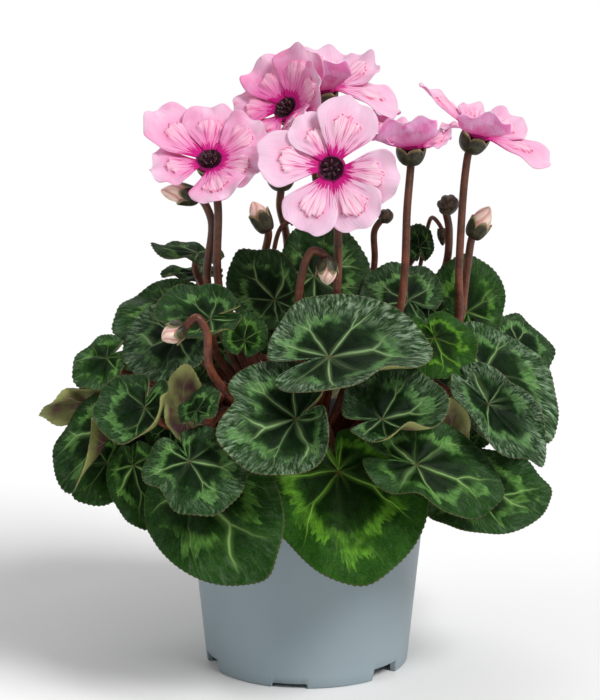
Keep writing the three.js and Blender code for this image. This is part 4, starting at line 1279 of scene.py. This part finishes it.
def smooth_route(points):
    """Centripetal curve through the points, with straight run-ins at both ends."""
    spots = [Vector(point) for point in points]
    spots = [2 * spots[0] - spots[1]] + spots + [2 * spots[-1] - spots[-2]]
    route = []
    for before, here, there, after in zip(spots, spots[1:], spots[2:], spots[3:]):
        pairs = ((before, here), (here, there), (there, after))
        d0, d1, d2 = (math.sqrt(max((b - a).length, 1e-4)) for a, b in pairs)
        leave = ((here - before) / d0 - (there - before) / (d0 + d1) + (there - here) / d1) * d1
        arrive = ((there - here) / d1 - (after - here) / (d1 + d2) + (after - there) / d2) * d1
        for step in range(ROUTE_STEPS):
            w = step / ROUTE_STEPS
            cubic = 2 * here - 2 * there + leave + arrive
            square = -3 * here + 3 * there - 2 * leave - arrive
            route.append(here + leave * w + square * w ** 2 + cubic * w ** 3)
    return route + [spots[-2]]


def leaf_route(leaf):
    normal = (blade_matrix(leaf).to_3x3() @ Vector((0, 0, 1))).normalized()
    joint = Vector(leaf["at"])
    near = joint + normal * leaf["over"] * LEAF_STALK_HOOK
    share = (min(joint.z, HIGH_LEAF) - LOW_LEAF) / (HIGH_LEAF - LOW_LEAF)
    root = LOW_LEAF_ROOT + (HIGH_LEAF_ROOT - LOW_LEAF_ROOT) * share
    heading = math.atan2(joint.y, joint.x)
    start = Vector((root * math.cos(heading), root * math.sin(heading), LEAF_ROOT_HEIGHT))
    middle = start.lerp(near, STALK_BEND_SHARE)
    middle.z = max(middle.z + LEAF_STALK_ARCH, LEAF_STALK_CREST)
    return smooth_route([start, Vector(leaf["via"]) if leaf["via"] else middle, near, joint])


def sunk(route):
    """The route, begun lower so that its root is well inside the corm."""
    return [route[0] - Vector((0, 0, ROOT_SINK))] + route


print("points on the route of the front leaf's stalk:", len(leaf_route(LEAVES["front_middle"])))

# %% [markdown]
# Geometry Nodes sweep a circle along all the routes at once, so one tree makes every stem. Each
# route carries its own radius, which lets a stem thin towards its end.

# %% Stems


def stem_grower():
    grower = Grower("stems", "Routes", {"Sides": 14})
    circle = grower.node("GeometryNodeCurvePrimitiveCircle", {
        "Resolution": grower.given["Sides"], "Radius": 1.0})
    thickness = grower.node("GeometryNodeInputRadius")
    sweep = grower.node("GeometryNodeCurveToMesh", {
        "Curve": grower.given["Routes"], "Profile Curve": circle, "Scale": thickness, "Fill Caps": True})
    grower.end(sweep, smooth=True)
    return grower


STEMS = stem_grower()


def stems_from(name, routes, finish):
    """routes is a list of (points, radius at the foot, radius at the end)."""
    data = bpy.data.curves.new(name + " routes", "CURVE")
    data.dimensions = "3D"
    for points, foot_radius, end_radius in routes:
        spline = data.splines.new("POLY")
        spline.points.add(len(points) - 1)
        for k, point in enumerate(points):
            share = k / (len(points) - 1)
            spline.points[k].co = (*(point * MM), 1)
            spline.points[k].radius = (foot_radius + (end_radius - foot_radius) * share) * MM
    return STEMS.grow(name, data, finish)


print("nodes in the stem tree:", len(STEMS.tree.nodes))

# %% [markdown]
# Stalks and scapes, the stems of the flowers, are red-brown and duller towards the top. One colour
# by height is enough for that, with two noises for mottling and fine hairs.

# %% Stalk finish
STALK_DULL_FROM = 155
STALK_DULL_TO = 220


def stalk_finish():
    recipe = Recipe("stalk", 0.42, 0.45)
    place = recipe.place()
    mottle = recipe.noise(place, 160.0, 3.0, 0.6)
    fine = recipe.noise(place, 700.0, 2.0)
    recipe.colour(recipe.blend(mottle.rise(0.35, 0.68), (82, 36, 23), (124, 66, 44)))
    recipe.lay(fine.rise(0.5, 0.7) * 0.35, (136, 92, 60))
    _, _, height = recipe.split(place)
    recipe.lay(height.rise(STALK_DULL_FROM * MM, STALK_DULL_TO * MM) * 0.6, (68, 48, 32))
    recipe.bump(fine, 0.25)
    return recipe.material


STALK = stalk_finish()
print("nodes in the stalk finish:", len(STALK.node_tree.nodes))

# %% [markdown]
# Every leaf, flower and bud now gets its stem. The ends run a little way into what they carry and
# into the corm, so no seam shows. A bud's stem is thinner where the bud is small.

# %% Leaf stalks and scapes
LEAF_STALK_RADIUS = 1.5
STALK_FOOT_SHARE = 1.15
BUD_SCAPE_SHARE = 0.45
SCAPE_END_SHARE = 0.95
SCAPE_SINK = 2

leaf_routes = [
    (sunk(leaf_route(leaf)), LEAF_STALK_RADIUS * STALK_FOOT_SHARE, LEAF_STALK_RADIUS)
    for leaf in [*LEAVES.values(), *YOUNG_LEAVES]
]
dress(stems_from("leaf_stalks", leaf_routes, STALK), "stalk", "corm_and_stalks")

scape_routes = []
for row in [*FLOWERS.values(), *BUDS.values(), *YOUNG_BUDS.values()]:
    foot = Vector(row["foot"])
    route = smooth_route([*row["route"], foot, foot + facing(row) * SCAPE_SINK])
    thin = min(SCAPE_RADIUS, row["size"][0] * BUD_SCAPE_SHARE) if "size" in row else SCAPE_RADIUS
    scape_routes.append((sunk(route), thin, thin * SCAPE_END_SHARE))
dress(stems_from("scapes", scape_routes, STALK), "stalk", "corm_and_stalks")
print("stems:", len(leaf_routes) + len(scape_routes))

# %% [markdown]
# The corm is a flattened, corky ball that stands half out of the peat. Sculpting it would be lost,
# since only gaps between the stalks show it, so it is a plain turned shape with a rough finish.

# %% Corm
CORM_RADIUS = 20
CORM_CENTRE = 94
CORM_HALF_HEIGHT = 9
CORM_RINGS = 24
CORM_COLUMNS = 72


def corm_skin():
    angles = np.linspace(-0.48 * math.pi, 0.48 * math.pi, CORM_RINGS)
    profile = [(CORM_RADIUS * math.cos(a), CORM_CENTRE + CORM_HALF_HEIGHT * math.sin(a)) for a in angles]

    def fold(radius, height, angle):
        return radius * (1 + 0.02 * np.sin(7 * angle) * np.cos(3 * height)), height

    return lathe_skin(profile, CORM_COLUMNS, fold=fold)


corm_finish = mottled(
    "corm", (0.85, 0.2), (260.0, 5.0, 0.65), (0.35, 0.65), ((46, 30, 22), (98, 70, 50)), 1.2)
corm = dress(piece_from("corm", [corm_skin()], [corm_finish.material]), "stalk", "corm_and_stalks")
print("corm faces:", len(corm.data.polygons))

# %% [markdown]
# The pot is moulded in one: a tapered wall, a raised floor, a rim band, and a foot ring with
# notches that let water run out. Cutting the notches would leave thin slivers at their ends, so the
# turned wall's lower edge is lifted where a notch is.

# %% Pot skin
POT_HEIGHT = 105
FOOT_RADIUS = 45
BODY_TOP_RADIUS = 54.6
RIM_RADIUS = 58.5
RIM_DEPTH = 9
POT_WALL = 1.6
POT_MIDDLE = 60
POT_COLUMNS = 720
WALL_START = 5.4
WALL_RINGS = 24
FLOOR_RING = 20
FLOOR_HEIGHT = 6
FOOT_NOTCHES = 6
FOOT_NOTCH_ANGLE = 20
SHALLOW_NOTCH_HEIGHT = 2
DEEP_NOTCH_HEIGHT = 5
FOOT_NOTCH_START = -100
FOOT_RING_WIDTH = 2.7
POT_TAPER = (BODY_TOP_RADIUS - FOOT_RADIUS) / (POT_HEIGHT - RIM_DEPTH)


def notch_lift(angle):
    """How far the foot's lower edge is lifted at each angle, with short sloped ends."""
    lift = np.zeros_like(angle)
    for k in range(FOOT_NOTCHES):
        middle = FOOT_NOTCH_START + k * 360 / FOOT_NOTCHES
        off = np.abs((np.degrees(angle) - middle + 180) % 360 - 180)
        height = DEEP_NOTCH_HEIGHT if k % 2 else SHALLOW_NOTCH_HEIGHT
        inside = np.clip((FOOT_NOTCH_ANGLE / 2 - off) / 0.8 + 0.5, 0, 1)
        lift = np.maximum(lift, height * inside)
    return lift


def outer_radius(height):
    return FOOT_RADIUS + POT_TAPER * height


def pot_skin():
    foot = outer_radius(0)
    floor = outer_radius(FLOOR_HEIGHT)
    rim_foot = POT_HEIGHT - RIM_DEPTH
    mouth = outer_radius(POT_HEIGHT) - POT_WALL
    inside = FLOOR_HEIGHT + POT_WALL
    profile = [
        (0.5, FLOOR_HEIGHT), (FLOOR_RING, FLOOR_HEIGHT), (floor - 3.4, FLOOR_HEIGHT),
        (floor - 3.2, FLOOR_HEIGHT - 0.2), (foot - FOOT_RING_WIDTH, 0.4),
        (foot - FOOT_RING_WIDTH + 0.4, 0), (foot - 0.4, 0), (foot, 0.4),
    ]
    profile += [(outer_radius(z), z) for z in np.linspace(WALL_START, rim_foot - 0.4, WALL_RINGS)]
    profile += [
        (outer_radius(rim_foot) + 0.3, rim_foot), (RIM_RADIUS - 0.8, rim_foot + 0.2),
        (RIM_RADIUS - 0.2, rim_foot + 0.6), (RIM_RADIUS, rim_foot + 1.4), (RIM_RADIUS, POT_HEIGHT - 0.8),
        (RIM_RADIUS - 0.3, POT_HEIGHT - 0.2), (RIM_RADIUS - 0.9, POT_HEIGHT), (mouth + 0.8, POT_HEIGHT),
        (mouth + 0.1, POT_HEIGHT - 0.6), (outer_radius(POT_MIDDLE) - POT_WALL, POT_MIDDLE),
        (floor - POT_WALL, inside + 1), (floor - POT_WALL - 1, inside), (FLOOR_RING, inside), (0.5, inside),
    ]
    below = np.array([point[1] < FLOOR_HEIGHT - 0.5 for point in profile])[:, None]

    def fold(radius, height, angle):
        return radius, np.where(below, np.maximum(height, notch_lift(angle)), height)

    return lathe_skin(profile, POT_COLUMNS, fold=fold)


print("the pot is", 2 * RIM_RADIUS, "mm over its rim and", 2 * FOOT_RADIUS, "mm across its foot")

# %% [markdown]
# The plastic is blue-grey with a faint haze and a little dust. Its drain holes are round, so they are
# cut out of the turned floor with a Boolean, which the pot's finish follows into the holes.

# %% Pot
DRAIN_HOLES = 6
DRAIN_HOLE_RADIUS = 4
DRAIN_RING_RADIUS = 30.6
DRAIN_COLUMNS = 24
DRAIN_REACH = 3
# No corner of a hole falls on an edge of the floor, which would leave slivers
DRAIN_TURN = math.radians(4)


def pot_finish():
    recipe = Recipe("pot plastic", 0.42, 0.45)
    place = recipe.place()
    haze = recipe.noise(place, 18.0, 3.0)
    recipe.colour(recipe.blend(haze.rise(0.3, 0.7), (141, 158, 166), (151, 166, 173)))
    recipe.lay(recipe.noise(place, 240.0, 4.0, 0.7).rise(0.62, 0.72) * 0.15, (160, 168, 168))
    recipe.roughness(haze * 0.2 + 0.34)
    recipe.bump(recipe.noise(place, 900.0, 2.0), 0.06)
    return recipe.material


def drain_skin(turn):
    ends = (FLOOR_HEIGHT - DRAIN_REACH, FLOOR_HEIGHT + POT_WALL + DRAIN_REACH)
    place = Matrix.Rotation(turn, 4, "Z") @ Matrix.Translation((DRAIN_RING_RADIUS, 0, 0))
    drain = lathe_skin([(DRAIN_HOLE_RADIUS, end) for end in ends], DRAIN_COLUMNS)
    return drain.moved(place @ Matrix.Rotation(DRAIN_TURN, 4, "Z"))


drains = piece_from("drains", [drain_skin(2 * math.pi * k / DRAIN_HOLES) for k in range(DRAIN_HOLES)], [])
blank = piece_from("pot_blank", [pot_skin()], [pot_finish()])
cut = blank.modifiers.new("holes", "BOOLEAN")
cut.operation = "DIFFERENCE"
cut.solver = "EXACT"
cut.object = drains
pot = dress(baked(blank, "pot_shell"), "pot", "pot")
bpy.data.objects.remove(drains)
print("pot faces:", len(pot.data.polygons))

# %% [markdown]
# Peat fills the pot to just under the rim. Its filling could stay a plain plug, but its top shows
# between the stalks, so that is an uneven crust, made by three waves of different lengths.

# %% Peat
PEAT_TOP = 95
PEAT_CROWN = 1.5
PEAT_COLUMNS = 160
PEAT_RINGS = 40
# Each wave's height, and how often it turns round and outwards
CRUST_WAVES = ((0.6, 31, 1.3), (0.5, 17, -2.1), (0.4, 53, 3.7))


def peat_reach(height):
    return outer_radius(height) - POT_WALL - SEAT_GAP


def peat_skin():
    floor = FLOOR_HEIGHT + POT_WALL + SEAT_GAP
    edge = peat_reach(PEAT_TOP)
    profile = [
        (0.5, floor), (peat_reach(floor), floor), (peat_reach(POT_MIDDLE), POT_MIDDLE),
        (edge - 0.2, PEAT_TOP - 0.5),
    ]
    crust = range(len(profile), len(profile) + PEAT_RINGS)
    tops = np.linspace(edge - 1, CORM_RADIUS - 1, PEAT_RINGS)
    profile += [(r, PEAT_TOP + PEAT_CROWN * min(1, (edge - r) / 20)) for r in tops]
    profile += [(CORM_RADIUS - 1.5, PEAT_TOP - 6), (0.5, PEAT_TOP - 8)]
    top = np.array([k in crust for k in range(len(profile))])[:, None]

    def fold(radius, height, angle):
        rough = sum(high * np.sin(around * angle + out * radius) for high, around, out in CRUST_WAVES)
        return radius, height + np.where(top, rough - 0.6, 0)

    return lathe_skin(profile, PEAT_COLUMNS, fold=fold)


peat_finish = mottled(
    "peat", (0.95, 0.1), (420.0, 6.0, 0.7), (0.35, 0.7), ((26, 18, 13), (74, 52, 38)), 1.5)
peat = dress(piece_from("peat_fill", [peat_skin()], [peat_finish.material]), "peat", "peat")
print("peat faces:", len(peat.data.polygons))

# %% [markdown]
# Loose crumbs lie on the crust. Nobody places a thousand crumbs by hand, so Geometry Nodes scatter
# them with a fixed seed on the faces that point upwards, each with its own size and turn.

# %% Crumbs
FACES_UP = 0.5
FULL_TURN = 6.28


def crumb_grower():
    grower = Grower("crumbs", "Bed", {"Per square metre": 60000.0, "Crumb": 0.9 * MM, "Seed": 7})
    given = grower.given
    _, _, height = grower.split(grower.node("GeometryNodeInputNormal"))
    upward = grower.node("FunctionNodeCompare", {"A": height, "B": FACES_UP},
                         data_type="FLOAT", operation="GREATER_THAN")
    points = grower.node("GeometryNodeDistributePointsOnFaces", {
        "Mesh": given["Bed"], "Selection": upward, "Density": given["Per square metre"],
        "Seed": given["Seed"]})
    crumb = grower.node("GeometryNodeMeshIcoSphere", {"Radius": given["Crumb"], "Subdivisions": 1})
    sizes = grower.node("FunctionNodeRandomValue", {
        "Min": (0.5, 0.5, 0.3), "Max": (1.6, 1.3, 0.9), "Seed": given["Seed"]}, data_type="FLOAT_VECTOR")
    turns = grower.node("FunctionNodeRandomValue", {
        "Max": (FULL_TURN, FULL_TURN, FULL_TURN), "Seed": given["Seed"]}, data_type="FLOAT_VECTOR")
    grower.end(grower.set_on(points, crumb, Scale=sizes, Rotation=turns), smooth=False)
    return grower


crumbs = dress(crumb_grower().grow("peat_crumbs", peat.data.copy(), peat_finish.material), "peat")
print("crumb faces:", len(crumbs.data.polygons))
